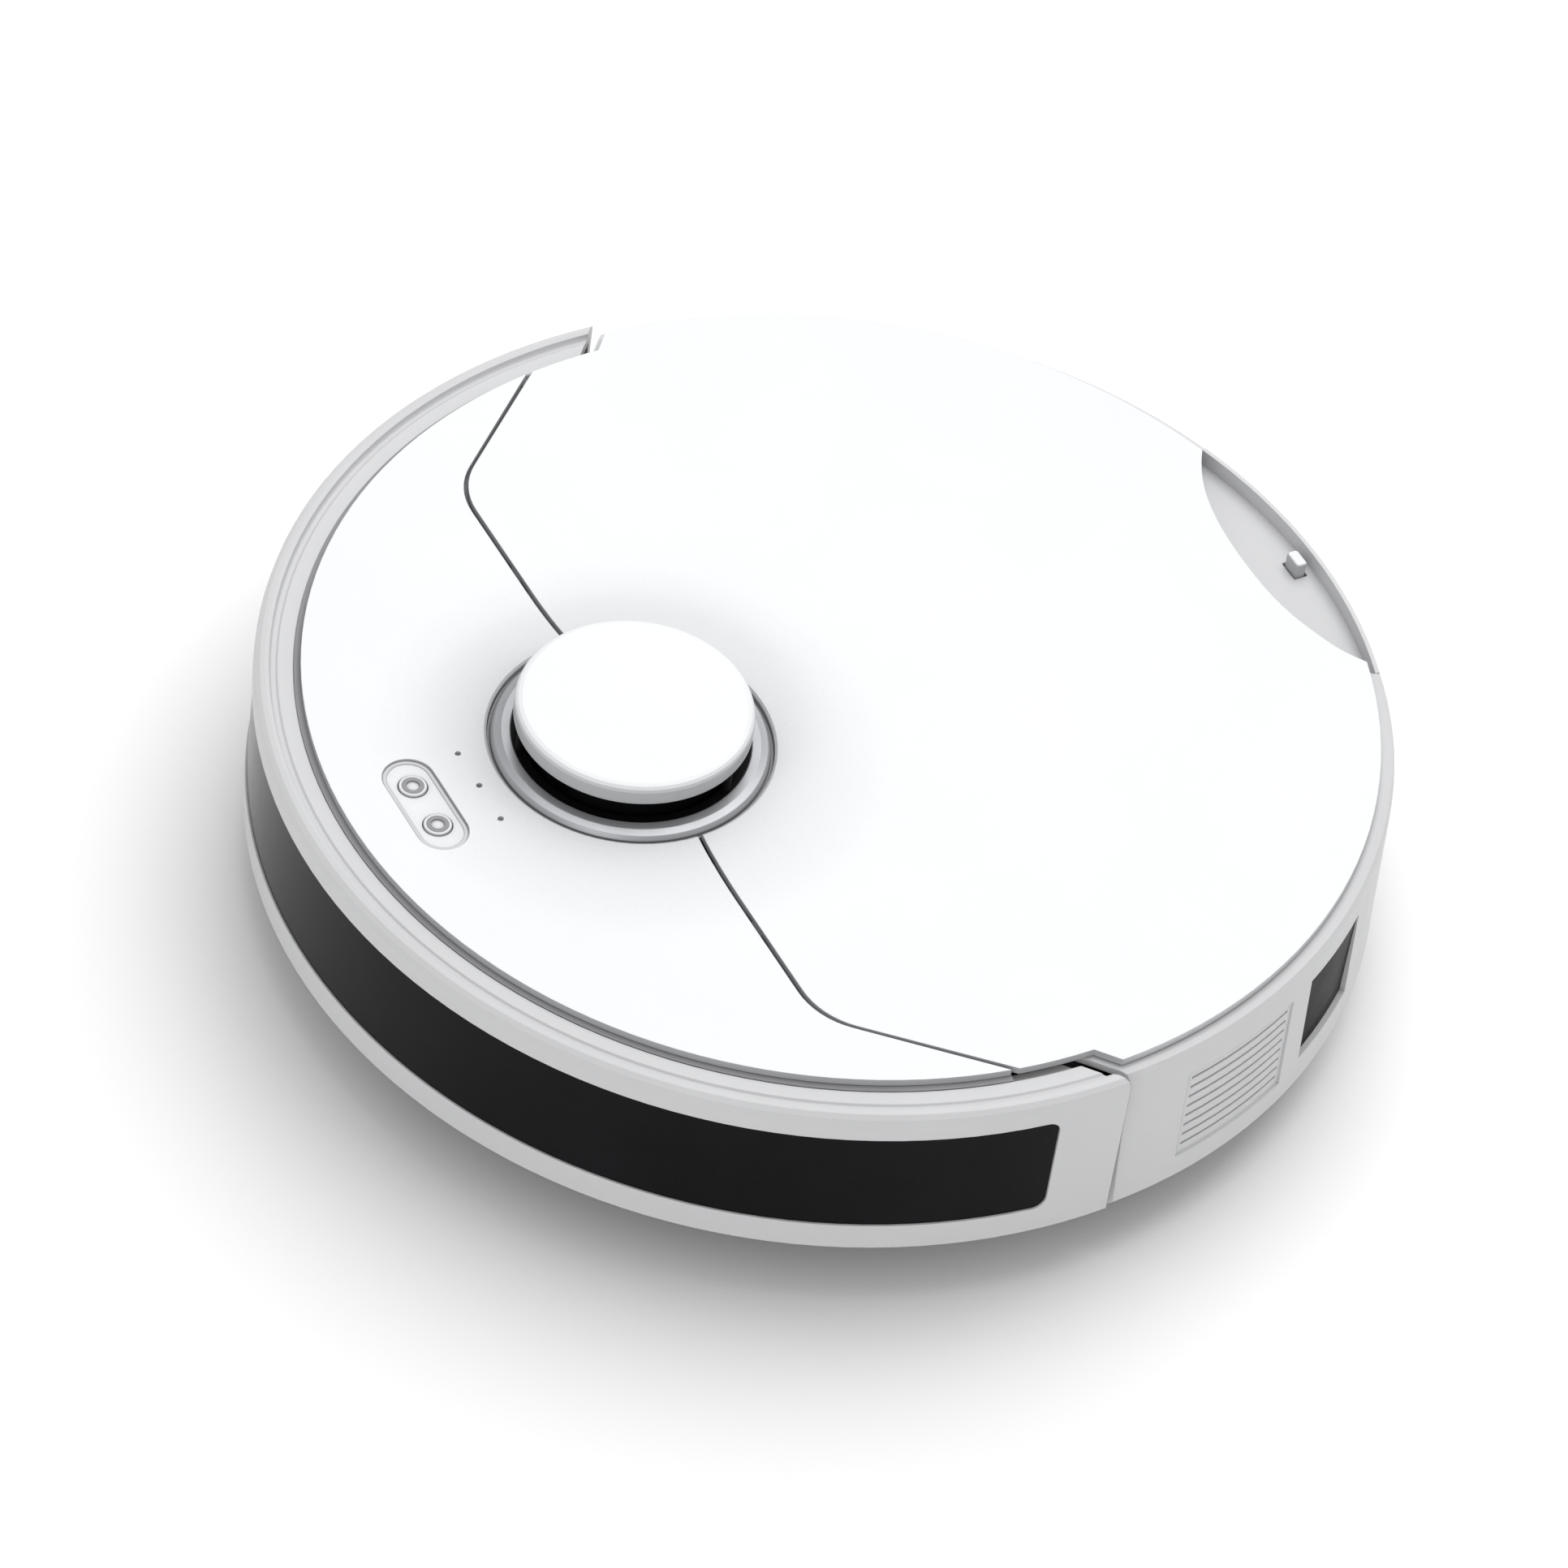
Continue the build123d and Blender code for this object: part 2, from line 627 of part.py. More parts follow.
def scan_pulley():
    """Large pulley under the rotor."""
    return grooved_pulley((0, TURRET_Y), SCAN_PULLEY_R - 1.6, 8 + RUNNING_FIT, (62.5, 68.5))


def scan_motor_pulley():
    """Small pulley on the scanner motor's shaft."""
    pulley = grooved_pulley(SCAN_MOTOR, SCAN_MOTOR_PULLEY_R - 1.6, 0.8, (62.5, 68.5))
    return pulley + rod(SCAN_MOTOR, (58.4, 68.5), 1.2)


def scan_motor():
    """Flat motor under the scanner's plate."""
    return rod(SCAN_MOTOR, (47.5, 58), 9)


def belt_loop(grow):
    """Solid inside the belt's run, grown by a margin."""
    big, small = SCAN_PULLEY_R - 1.6 + grow, SCAN_MOTOR_PULLEY_R - 1.6 + grow
    reach = hypot(SCAN_MOTOR[0], SCAN_MOTOR[1] - TURRET_Y)
    turn = atan2(SCAN_MOTOR[1] - TURRET_Y, SCAN_MOTOR[0])
    lean = pi / 2 - atan2(big - small, (reach ** 2 - (big - small) ** 2) ** 0.5)
    points = []
    for sign in (1, -1):
        angle = turn + sign * lean
        near = (big * cos(angle), TURRET_Y + big * sin(angle))
        far = (SCAN_MOTOR[0] + small * cos(angle), SCAN_MOTOR[1] + small * sin(angle))
        points += [near, far] if sign > 0 else [far, near]
    middle = prism(points, BELT_Z)
    return middle + rod((0, TURRET_Y), BELT_Z, big) + rod(SCAN_MOTOR, BELT_Z, small)


def scan_belt():
    """Belt round both pulleys."""
    return belt_loop(1.3) - belt_loop(0.3)


def collar():
    """Grey ring round the turret."""
    outline = [
        (38, 72), (40.4, 72), (40.4, 80), (42.2, 80.6), (42.2, 82.0), (41.2, 83.2),
        (39.0, 83.9), (36.4, 84.0), (36.0, 83.6), (36.0, 81.5), (38, 81.0),
    ]
    return Pos(0, TURRET_Y, 0) * spin(outline)


def cap_posts():
    """Black ring inside the collar with three posts for the cap."""
    outline = [(33, 81.5), (36, 81.5), (36, 83.2), (33, 83.2)]
    ring = Pos(0, TURRET_Y, 0) * spin(outline)
    for angle in (-102, 28, 163):
        spot = (34.4 * cos(radians(angle)), TURRET_Y + 34.4 * sin(radians(angle)))
        ring = ring + rod(spot, (82, CAP_BOTTOM), 1.4)
    return ring


def turret_cap():
    """White cap over the scanner."""
    outline = [
        (0, 92.8), (33, 92.8), (33, CAP_BOTTOM), (CAP_R, CAP_BOTTOM), (CAP_R, 95.8),
        (35.7, 96.8), (35.0, 97.6), (33.8, CAP_TOP), (0, CAP_TOP),
    ]
    return Pos(0, TURRET_Y, 0) * spin(outline)


# ---- dust bin and fan ----
def bin_body():
    """Open bin with an inlet in front and an outlet on its left side."""
    outer = box((-BIN_X, BIN_X), BIN_Y, (PAN_TOP, BIN_TOP - 2))
    outer = outer & rod((0, 0), TALL, 150)
    inner = box((-BIN_X + 2, BIN_X - 2), (BIN_Y[0] + 2, BIN_Y[1] - 2), (15, 120))
    inner = inner & rod((0, 0), TALL, 148)
    inlet = box((-28, 28), (BIN_Y[0] - 1, BIN_Y[0] + 3), (27, 44))
    outlet = box((BIN_X - 3, BIN_X + 1), DUCT_Y, DUCT_Z)
    return outer - inner - inlet - outlet


def bin_lid():
    """Lid of the dust bin with its folded handle."""
    plate = box((-BIN_X, BIN_X), BIN_Y, (BIN_TOP - 2, BIN_TOP)) & rod((0, 0), TALL, 150)
    handle = box((-32, 32), (98, 122), (BIN_TOP - 1, BIN_TOP + 4))
    return plate + (handle - box((-26, 26), (90, 116), (BIN_TOP, 120)))


def bin_filter():
    """Pleated filter block behind the bin's outlet."""
    block = box((46, 56), (DUCT_Y[0] - 4, DUCT_Y[1] + 4), (DUCT_Z[0] - 4, DUCT_Z[1] + 4))
    for count in range(6):
        y = DUCT_Y[0] + 1 + count * 4
        block = block - box((45, 50), (y, y + 2), (DUCT_Z[0] - 1, DUCT_Z[1] + 1))
    return block


def air_duct():
    """Duct from the bin's outlet to the fan."""
    grow = 1.5
    y = (DUCT_Y[0] - grow, DUCT_Y[1] + grow)
    z = (DUCT_Z[0] - grow, DUCT_Z[1] + grow)
    duct = box((BIN_X, BLOWER[0] - 12), y, z) - box((BIN_X - 1, 120), DUCT_Y, DUCT_Z)
    return duct - rod(BLOWER, TALL, BLOWER_R)


def blower_housing():
    """Round fan housing with its duct, exhaust slot, motor and shaft."""
    case = rod(BLOWER, (13, 60), BLOWER_R) - rod(BLOWER, (15, 58), BLOWER_R - 2)
    case = case - box((BLOWER[0] - 30, BLOWER[0]), (DUCT_Y[0] + 1, DUCT_Y[1] - 1), (DUCT_Z[0], 57))
    case = case - box((BLOWER[0], BLOWER[0] + 30), (BLOWER[1] - 8, BLOWER[1] + 8), (32, 50))
    motor = rod(BLOWER, (14, 28), 12) + rod(BLOWER, (27, 50), 1.5)
    return joined(case, air_duct(), motor)


def impeller():
    """Fan wheel with curved blades."""
    wheel = rod(BLOWER, (30, 32), 17) + rod(BLOWER, (30, 52), 4)
    for count in range(9):
        blade = Rot(0, 0, count * 40) * (Pos(9.5, 3, 41) * Rot(0, 0, 25) * Box(15, 1.2, 20))
        wheel = wheel + Pos(BLOWER[0], BLOWER[1], 0) * blade
    return wheel - rod(BLOWER, (20, 60), 1.5 + RUNNING_FIT)


# ---- main brush ----
def brush_housing():
    """Half tube over the main brush with its end plates and throat."""
    ends = (BRUSH_SPAN[0], BRUSH_SPAN[1])
    full = rod_x(ends, BRUSH_Y, BRUSH_Z, BRUSH_R + 4.5)
    full = full - rod_x((ends[0] + 2, ends[1] - 2), BRUSH_Y, BRUSH_Z, BRUSH_R + 2.5)
    throat = box((-32, 32), (BRUSH_Y + 18, BIN_Y[0]), (25, 46)) - box((-28, 28), (0, 60), (27, 44))
    throat = throat - rod_x((-40, 40), BRUSH_Y, BRUSH_Z, BRUSH_R + 3.5)
    full = full - box((-28, 28), (BRUSH_Y + 10, 60), (27, 44))
    half = (full + throat) & box((-CUT, CUT), (-CUT, CUT), (13, 120))
    for x in (ends[0] - 1, ends[1] - 3):
        half = half - rod_x((x, x + 4), BRUSH_Y, BRUSH_Z, 3.0 + RUNNING_FIT)
    return half


def brush_core():
    """Core of the main brush with its two journals."""
    core = rod_x((BRUSH_SPAN[0] + 3.5, BRUSH_SPAN[1] - 3.5), BRUSH_Y, BRUSH_Z, 9)
    return core + rod_x((BRUSH_SPAN[0] + 0.2, BRUSH_SPAN[1] - 0.2), BRUSH_Y, BRUSH_Z, 3.0)


def brush_blades(first):
    """Three of the six rows round the core, rubber or bristle."""
    rows = []
    for turn in range(first, 360, 120):
        row = box((BRUSH_SPAN[0] + 5, BRUSH_SPAN[1] - 5), (-1.6, 1.6), (8.95, BRUSH_R))
        row = Pos(0, BRUSH_Y, BRUSH_Z) * Rot(turn, 0, 0) * row
        rows.append(row - rod_x(BRUSH_SPAN, BRUSH_Y, BRUSH_Z, 9))
    return group(*rows)


def brush_gearbox():
    """Gearbox beside the main brush, with its motor on top."""
    case = box((BRUSH_SPAN[1], 84.3), (-24, 16), (13, 50))
    case = fillet(case.edges().filter_by(Axis.X), 5)
    motor = rod_x((BRUSH_SPAN[1] - 42, BRUSH_SPAN[1] + 8), BRUSH_Y, 59.1, 9)
    return case + motor


def brush_frame():
    """Removable frame round the main brush opening."""
    frame = box((BRUSH_SPAN[0] - 3, BRUSH_SPAN[1] + 9), (BRUSH_Y - 29, BRUSH_Y + 27), (7.6, FLOOR_Z))
    frame = fillet(frame.edges().filter_by(Axis.Z), 6)
    opening = box((BRUSH_SPAN[0] + 3, BRUSH_SPAN[1] - 3), (BRUSH_Y - 18.5, BRUSH_Y + 18.5), (0, 20))
    return frame - opening


# ---- side brush ----
def side_brush():
    """Hub with three arms and its shaft."""
    hub = rod(SIDE_BRUSH, (4.5, 9.4), 10) + rod(SIDE_BRUSH, (9, 14.2), 2.5)
    outward = degrees(atan2(SIDE_BRUSH[1], SIDE_BRUSH[0]))
    for turn in (60, 180, 300):
        arm = box((6, 34), (-2.2, 2.2), (4.5, 7.5))
        hub = hub + Pos(SIDE_BRUSH[0], SIDE_BRUSH[1], 0) * Rot(0, 0, outward + turn) * arm
    return hub


def side_bristles():
    """Bundle of bristles on each arm of the side brush."""
    outward = degrees(atan2(SIDE_BRUSH[1], SIDE_BRUSH[0]))
    tufts = []
    for turn in (60, 180, 300):
        tuft = box((34, 62), (-3.5, 3.5), (2.0, 6.5))
        tufts.append(Pos(SIDE_BRUSH[0], SIDE_BRUSH[1], 0) * Rot(0, 0, outward + turn) * tuft)
    return group(*tufts)


def side_brush_motor():
    """Gear motor over the side brush."""
    case = box((-107, -85), (-103, -83), (14.6, 38))
    case = fillet(case.edges().filter_by(Axis.Z), 3)
    return case + tube(SIDE_BRUSH, (13, 14.6), 8, 5)


# ---- drive wheels ----
def suspension_arm(side):
    """Gearbox arm from the pivot to the wheel, with the hub motor."""
    x = (92.0, 101.0)
    pivot = rod_x(x, PIVOT_Y, PIVOT_Z, 7)
    wheel_end = rod_x(x, WHEEL_Y, WHEEL_R, 17)
    low_edge = [(WHEEL_Y, WHEEL_R - 14), (PIVOT_Y, PIVOT_Z - 6)]
    high_edge = [(PIVOT_Y, PIVOT_Z + 6), (WHEEL_Y, WHEEL_R + 14)]
    web_low = prism(low_edge + high_edge, (0, x[1] - x[0]))
    web = Pos(x[0], 0, 0) * Plane.YZ.location * web_low
    motor = rod_x((x[1] - 0.5, 118.5), WHEEL_Y, WHEEL_R, 15)
    stub = rod_x((118, 125.5), WHEEL_Y, WHEEL_R, 3)
    arm = joined(pivot, wheel_end, web, motor, stub)
    arm = arm - rod_x((x[0] - 1, x[1] + 1), PIVOT_Y, PIVOT_Z, 2.0 + RUNNING_FIT)
    return arm if side > 0 else mirrored(arm)


def wheel_rim(side):
    """Cup-shaped rim with five holes in its disc."""
    low, high = WHEEL_X - WHEEL_W / 2, WHEEL_X + WHEEL_W / 2
    rim = rod_x((low, high), WHEEL_Y, WHEEL_R, 27) - rod_x((low - 1, high - 6), WHEEL_Y, WHEEL_R, 24)
    for count in range(5):
        turn = radians(count * 72 + 18)
        spot = (WHEEL_Y + 16.5 * cos(turn), WHEEL_R + 16.5 * sin(turn))
        rim = rim - rod_x((high - 7, high + 1), spot[0], spot[1], 4.5)
    rim = rim - rod_x((low, high + 1), WHEEL_Y, WHEEL_R, 3 + RUNNING_FIT)
    return rim if side > 0 else mirrored(rim)


def tyre(side):
    """Rubber tyre."""
    low, high = WHEEL_X - WHEEL_W / 2, WHEEL_X + WHEEL_W / 2
    ring = rod_x((low, high), WHEEL_Y, WHEEL_R, WHEEL_R)
    ring = ring - rod_x((low - 1, high + 1), WHEEL_Y, WHEEL_R, 27)
    return ring if side > 0 else mirrored(ring)


def pivot_pin(side):
    """Pin in the wheel housing that the arm swings on."""
    pin = rod_x((86.0, 101.0), PIVOT_Y, PIVOT_Z, 2.0)
    return pin if side > 0 else mirrored(pin)


def torsion_spring(side):
    """Coil round the pivot pin that presses the wheel down."""
    outline = [(2.3, 86.2)]
    for turn in range(3):
        low = 86.2 + turn * 1.8
        outline += [(4.6, low), (5.4, low + 0.9)]
    outline += [(4.6, 91.6), (2.3, 91.6)]
    coil = Pos(0, PIVOT_Y, PIVOT_Z) * Rot(0, 90, 0) * spin(outline)
    return coil if side > 0 else mirrored(coil)


# ---- caster ----
def caster_housing():
    """Cup over the caster with the swivel's bore."""
    centre = (0, CASTER_Y)
    cup = tube(centre, (13, 34), 19.5, 18.0) + tube(centre, (31, 34), 19.0, 4.0 + RUNNING_FIT)
    return cup + tube(centre, (33, 42), 7.5, 4.0 + RUNNING_FIT)


def caster_fork():
    """Turntable with a slot for the wheel, an arch over it and a stem."""
    centre = (0, CASTER_Y)
    wheel_y = CASTER_Y + CASTER_TRAIL
    table = rod(centre, (10.6, 13.4), 17.4)
    arch = box((-9, 9), (CASTER_Y - 13, CASTER_Y + 14), (13, 28.5))
    body = table + (arch & rod(centre, (0, 40), 16.5)) + rod(centre, (28, 41), 4.0)
    wheel_gap = rod_x((-6.2, 6.2), wheel_y, CASTER_R, CASTER_R + 1.0)
    slot_y = (wheel_y - CASTER_R - 1, wheel_y + CASTER_R + 3)
    wheel_gap = wheel_gap + box((-6.2, 6.2), slot_y, (0, PAN_TOP + 0.4))
    return body - wheel_gap - rod_x((-12, 12), wheel_y, CASTER_R, CASTER_AXLE_R)


def caster_wheel():
    """Small wheel of the caster."""
    wheel_y = CASTER_Y + CASTER_TRAIL
    half, bevel = CASTER_W / 2, 1.5
    bore = CASTER_AXLE_R + RUNNING_FIT
    outline = [
        (bore, -half), (CASTER_R - bevel, -half), (CASTER_R, bevel - half),
        (CASTER_R, half - bevel), (CASTER_R - bevel, half), (bore, half),
    ]
    return Pos(0, wheel_y, CASTER_R) * Rot(0, 90, 0) * spin(outline)


def caster_axle():
    """Steel axle of the caster wheel."""
    return rod_x((-8.8, 8.8), CASTER_Y + CASTER_TRAIL, CASTER_R, CASTER_AXLE_R)


# ---- every sub-part ----
os.makedirs("parts", exist_ok=True)
SINGLE_PARTS = {
    "chassis_pan": chassis_pan,
    "inner_deck": inner_deck,
    "rear_shell": rear_shell,
    "front_cover": front_cover,
    "side_windows": side_windows,
    "hinge_pins": hinge_pins,
    "lid": lid,
    "latch_button": latch_button,
    "bumper_shell": bumper_shell,
    "sensor_window": sensor_window,
    "bumper_springs": bumper_springs,
    "bump_switches": bump_switches,
    "battery": battery,
    "battery_cover": battery_cover,
    "screws": screws,
    "cliff_windows": cliff_windows,
    "charging_contacts": charging_contacts,
    "main_board": main_board,
    "status_lights": status_lights,
    "scan_base": scan_base,
    "scan_rotor": scan_rotor,
    "scan_lenses": scan_lenses,
    "scan_pulley": scan_pulley,
    "scan_motor": scan_motor,
    "scan_motor_pulley": scan_motor_pulley,
    "scan_belt": scan_belt,
    "collar_ring": collar,
    "cap_posts": cap_posts,
    "turret_cap": turret_cap,
    "dust_bin": bin_body,
    "dust_bin_lid": bin_lid,
    "dust_filter": bin_filter,
    "blower_housing": blower_housing,
    "impeller": impeller,
    "brush_housing": brush_housing,
    "brush_core": brush_core,
    "brush_gearbox": brush_gearbox,
    "brush_frame": brush_frame,
    "side_brush": side_brush,
    "side_bristles": side_bristles,
    "side_brush_motor": side_brush_motor,
    "caster_housing": caster_housing,
    "caster_fork": caster_fork,
    "caster_wheel": caster_wheel,
    "caster_axle": caster_axle,
}
for name, make in SINGLE_PARTS.items():
    save(name, make())
save("brush_rubber_blades", brush_blades(0))
save("brush_bristles", brush_blades(60))
save("power_button", push_button(1))
save("home_button", push_button(-1))
save("wheel_housings", group(wheel_housing(1), wheel_housing(-1)))
save("pivot_pins", group(pivot_pin(1), pivot_pin(-1)))
save("torsion_springs", group(torsion_spring(1), torsion_spring(-1)))
for side, word in ((1, "left"), (-1, "right")):
    save(f"bump_lever_{word}", bump_lever(side))
    save(f"suspension_arm_{word}", suspension_arm(side))
    save(f"wheel_rim_{word}", wheel_rim(side))
    save(f"tyre_{word}", tyre(side))
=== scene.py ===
import math
import random

import bmesh
import bpy
from mathutils import Matrix, Vector


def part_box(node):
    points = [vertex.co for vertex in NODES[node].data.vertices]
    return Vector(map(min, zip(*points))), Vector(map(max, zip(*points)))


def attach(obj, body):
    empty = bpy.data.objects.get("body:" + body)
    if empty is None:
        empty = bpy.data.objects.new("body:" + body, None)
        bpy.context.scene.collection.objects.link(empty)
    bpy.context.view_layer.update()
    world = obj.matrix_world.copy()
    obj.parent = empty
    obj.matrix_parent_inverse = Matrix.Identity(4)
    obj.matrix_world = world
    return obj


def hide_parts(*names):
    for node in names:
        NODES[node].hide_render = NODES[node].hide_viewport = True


# Robot vacuum. Metres. Origin on the floor under the middle of the body.
# +Z is up, -Y is the front, +X is the robot's left.

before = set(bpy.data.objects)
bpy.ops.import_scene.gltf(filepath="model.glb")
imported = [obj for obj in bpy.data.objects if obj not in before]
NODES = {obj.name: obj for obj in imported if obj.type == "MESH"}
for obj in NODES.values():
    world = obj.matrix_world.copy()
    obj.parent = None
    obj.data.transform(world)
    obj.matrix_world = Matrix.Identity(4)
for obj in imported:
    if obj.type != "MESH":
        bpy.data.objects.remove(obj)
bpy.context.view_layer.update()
MM = 0.001
random.seed(7)


# ---- camera ----
CAMERA_AT = Vector((1.31305, -0.89604, 1.61607))
CAMERA_AZIMUTH = math.radians(56.05)
CAMERA_ELEVATION = math.radians(44.84)
CAMERA_ROLL = math.radians(8.89)
CAMERA_LENS = 167.7
CAMERA_SENSOR = 36
CAMERA_CLIP = 50


def make_camera():
    """Camera that looks down at the front left, slightly rolled."""
    a, e, r = CAMERA_AZIMUTH, CAMERA_ELEVATION, CAMERA_ROLL
    back = Vector((math.sin(a) * math.cos(e), -math.cos(a) * math.cos(e), math.sin(e)))
    right = Vector((math.cos(a), math.sin(a), 0))
    up = back.cross(right)
    side = math.cos(r) * right + math.sin(r) * up
    head = -math.sin(r) * right + math.cos(r) * up
    turn = Matrix((side, head, back)).transposed()
    data = bpy.data.cameras.new("camera")
    data.lens = CAMERA_LENS
    data.sensor_width = CAMERA_SENSOR
    data.clip_end = CAMERA_CLIP
    camera = bpy.data.objects.new("camera", data)
    camera.matrix_world = Matrix.Translation(CAMERA_AT) @ turn.to_4x4()
    bpy.context.scene.collection.objects.link(camera)
    bpy.context.scene.camera = camera


# ---- studio ----
FLOOR_SIZE = 12
FLOOR_TONE = (0.93, 0.93, 0.93, 1)
WORLD_STRENGTH = 0.66
AIM = Vector((0, 0, 50 * MM))
LIGHTS = {
    # name: place, size, watts
    "overhead": ((-0.45, 0.65, 2.0), (2.0, 2.0), 31),
    "front_fill": ((1.6, -1.8, 1.0), (1.6, 1.2), 10),
    "back_fill": ((-1.8, 1.4, 0.9), (1.6, 1.0), 5),
}


def make_floor():
    """Plain pale floor."""
    bpy.ops.mesh.primitive_plane_add(size=FLOOR_SIZE, location=(0, 0, 0))
    floor = bpy.context.object
    floor.name = "floor"
    material = bpy.data.materials.new("pale_floor")
    material.use_nodes = True
    shader = material.node_tree.nodes["Principled BSDF"]
    shader.inputs["Base Color"].default_value = FLOOR_TONE
    shader.inputs["Roughness"].default_value = 0.9
    shader.inputs["Specular IOR Level"].default_value = 0.1
    floor.data.materials.append(material)


def area_light(name, place, size, power):
    """Soft rectangular light aimed at the body."""
    data = bpy.data.lights.new(name, "AREA")
    data.shape = "RECTANGLE"
    data.size, data.size_y = size
    data.energy = power
    light = bpy.data.objects.new(name, data)
    light.location = place
    way = AIM - Vector(place)
    light.rotation_euler = way.to_track_quat("-Z", "Y").to_euler()
    bpy.context.scene.collection.objects.link(light)


def make_studio():
    """White surround with a big soft light overhead and two fills."""
    world = bpy.data.worlds.new("studio")
    world.use_nodes = True
    background = world.node_tree.nodes["Background"]
    background.inputs["Color"].default_value = (1, 1, 1, 1)
    background.inputs["Strength"].default_value = WORLD_STRENGTH
    bpy.context.scene.world = world
    for name, (place, size, power) in LIGHTS.items():
        area_light(name, place, size, power)
    bpy.context.scene.view_settings.view_transform = "Standard"


# ---- materials ----
EDGE_RADIUS = 0.4 * MM      # softening of every sharp edge
EDGE_SAMPLES = 4
PAINTED_SHADE_REACH = 45 * MM      # painted shade: how far off a surface still counts as enclosing
PAINTED_SHADE_RANGE = (0.78, 0.99)  # openness from full painted shade to none
PAINTED_SHADE_SAMPLES = 8
DRIFT_SCALE = 22.0          # slow change of tone
POLISH_SCALE = 140.0        # uneven polish
COAT_ROUGH = 0.06


def new_material(name):
    """Node material and its principled shader."""
    material = bpy.data.materials.new(name)
    material.use_nodes = True
    return material, material.node_tree, material.node_tree.nodes["Principled BSDF"]


def noise(tree, scale, detail=4.0, stretch=None):
    """Noise in the object's own coordinates, in metres, stretched if asked."""
    coords = tree.nodes.new("ShaderNodeTexCoord")
    texture = tree.nodes.new("ShaderNodeTexNoise")
    texture.inputs["Scale"].default_value = scale
    texture.inputs["Detail"].default_value = detail
    texture.inputs["Roughness"].default_value = 0.55
    source = coords.outputs["Object"]
    if stretch:
        mapping = tree.nodes.new("ShaderNodeMapping")
        mapping.inputs["Scale"].default_value = stretch
        tree.links.new(source, mapping.inputs["Vector"])
        source = mapping.outputs["Vector"]
    tree.links.new(source, texture.inputs["Vector"])
    return texture.outputs["Fac"]


def ramp(tree, source, low, high):
    """Colour ramp between two colours, over the middle of a noise texture's range."""
    node = tree.nodes.new("ShaderNodeValToRGB")
    for stop, place, colour in zip(node.color_ramp.elements, (0.35, 0.65), (low, high)):
        stop.position = place
        stop.color = (*colour, 1)
    tree.links.new(source, node.inputs["Fac"])
    return node.outputs["Color"]


def span(tree, source, low, high):
    """Number range driven by a texture."""
    node = tree.nodes.new("ShaderNodeMapRange")
    node.inputs["To Min"].default_value = low
    node.inputs["To Max"].default_value = high
    tree.links.new(source, node.inputs["Value"])
    return node.outputs["Result"]


def bump(tree, shader, source, strength, depth):
    """Fine relief over softened edges."""
    edge = tree.nodes.new("ShaderNodeBevel")
    edge.samples = EDGE_SAMPLES
    edge.inputs["Radius"].default_value = EDGE_RADIUS
    node = tree.nodes.new("ShaderNodeBump")
    tree.links.new(edge.outputs["Normal"], node.inputs["Normal"])
    node.inputs["Strength"].default_value = strength
    node.inputs["Distance"].default_value = depth
    tree.links.new(source, node.inputs["Height"])
    tree.links.new(node.outputs["Normal"], shader.inputs["Normal"])


def painted_corner_shade(tree, tone, shade):
    """Painted shade: tone that deepens where the surface is partly enclosed."""
    cover = tree.nodes.new("ShaderNodeAmbientOcclusion")
    cover.samples = PAINTED_SHADE_SAMPLES
    cover.inputs["Distance"].default_value = PAINTED_SHADE_REACH
    level = tree.nodes.new("ShaderNodeMapRange")
    level.inputs["From Min"].default_value = PAINTED_SHADE_RANGE[0]
    level.inputs["From Max"].default_value = PAINTED_SHADE_RANGE[1]
    level.inputs["To Min"].default_value = shade
    level.inputs["To Max"].default_value = 1.0
    tree.links.new(cover.outputs["AO"], level.inputs["Value"])
    scale = tree.nodes.new("ShaderNodeVectorMath")
    scale.operation = "SCALE"
    tree.links.new(tone, scale.inputs[0])
    tree.links.new(level.outputs["Result"], scale.inputs["Scale"])
    return scale.outputs["Vector"]


def moulded(name, colour, rough, grain=2600.0, depth=0.02, strength=0.25, vary=0.03, coat=0.0,
            specular=0.5, shade=1.0, metal=0.0, ior=1.45):
    """Moulded plastic or rubber: tone drift, painted shade deepening the tone in corners, uneven polish, fine
    grain.

    The grain's depth is in millimetres.
    """
    material, tree, shader = new_material(name)
    low = tuple(max(0.0, c * (1 - vary)) for c in colour)
    high = tuple(min(1.0, c * (1 + vary)) for c in colour)
    tone = ramp(tree, noise(tree, DRIFT_SCALE), low, high)
    # painted shade in corners when shade is below 1
    if shade < 1:
        tone = painted_corner_shade(tree, tone, shade)
    tree.links.new(tone, shader.inputs["Base Color"])
    shader.inputs["Metallic"].default_value = metal
    shader.inputs["IOR"].default_value = ior
    polish = span(tree, noise(tree, POLISH_SCALE, 6.0), rough * 0.82, min(1.0, rough * 1.2))
    tree.links.new(polish, shader.inputs["Roughness"])
    shader.inputs["Specular IOR Level"].default_value = specular
    shader.inputs["Coat Weight"].default_value = coat
    shader.inputs["Coat Roughness"].default_value = COAT_ROUGH
    bump(tree, shader, noise(tree, grain, 3.0), strength, depth * MM)
    return material


def brushed(name, colour, rough, stretch=(40, 40, 1.5)):
    """Metal with drawn lines."""
    material, tree, shader = new_material(name)
    lines = noise(tree, 260.0, 5.0, stretch=stretch)
    low = tuple(c * 0.85 for c in colour)
    tree.links.new(ramp(tree, lines, low, colour), shader.inputs["Base Color"])
    tree.links.new(span(tree, lines, rough * 0.7, rough * 1.3), shader.inputs["Roughness"])
    shader.inputs["Metallic"].default_value = 1.0
    bump(tree, shader, lines, 0.2, 0.02 * MM)
    return material


# ---- mesh helpers ----
SMOOTH_ANGLE = math.radians(35)


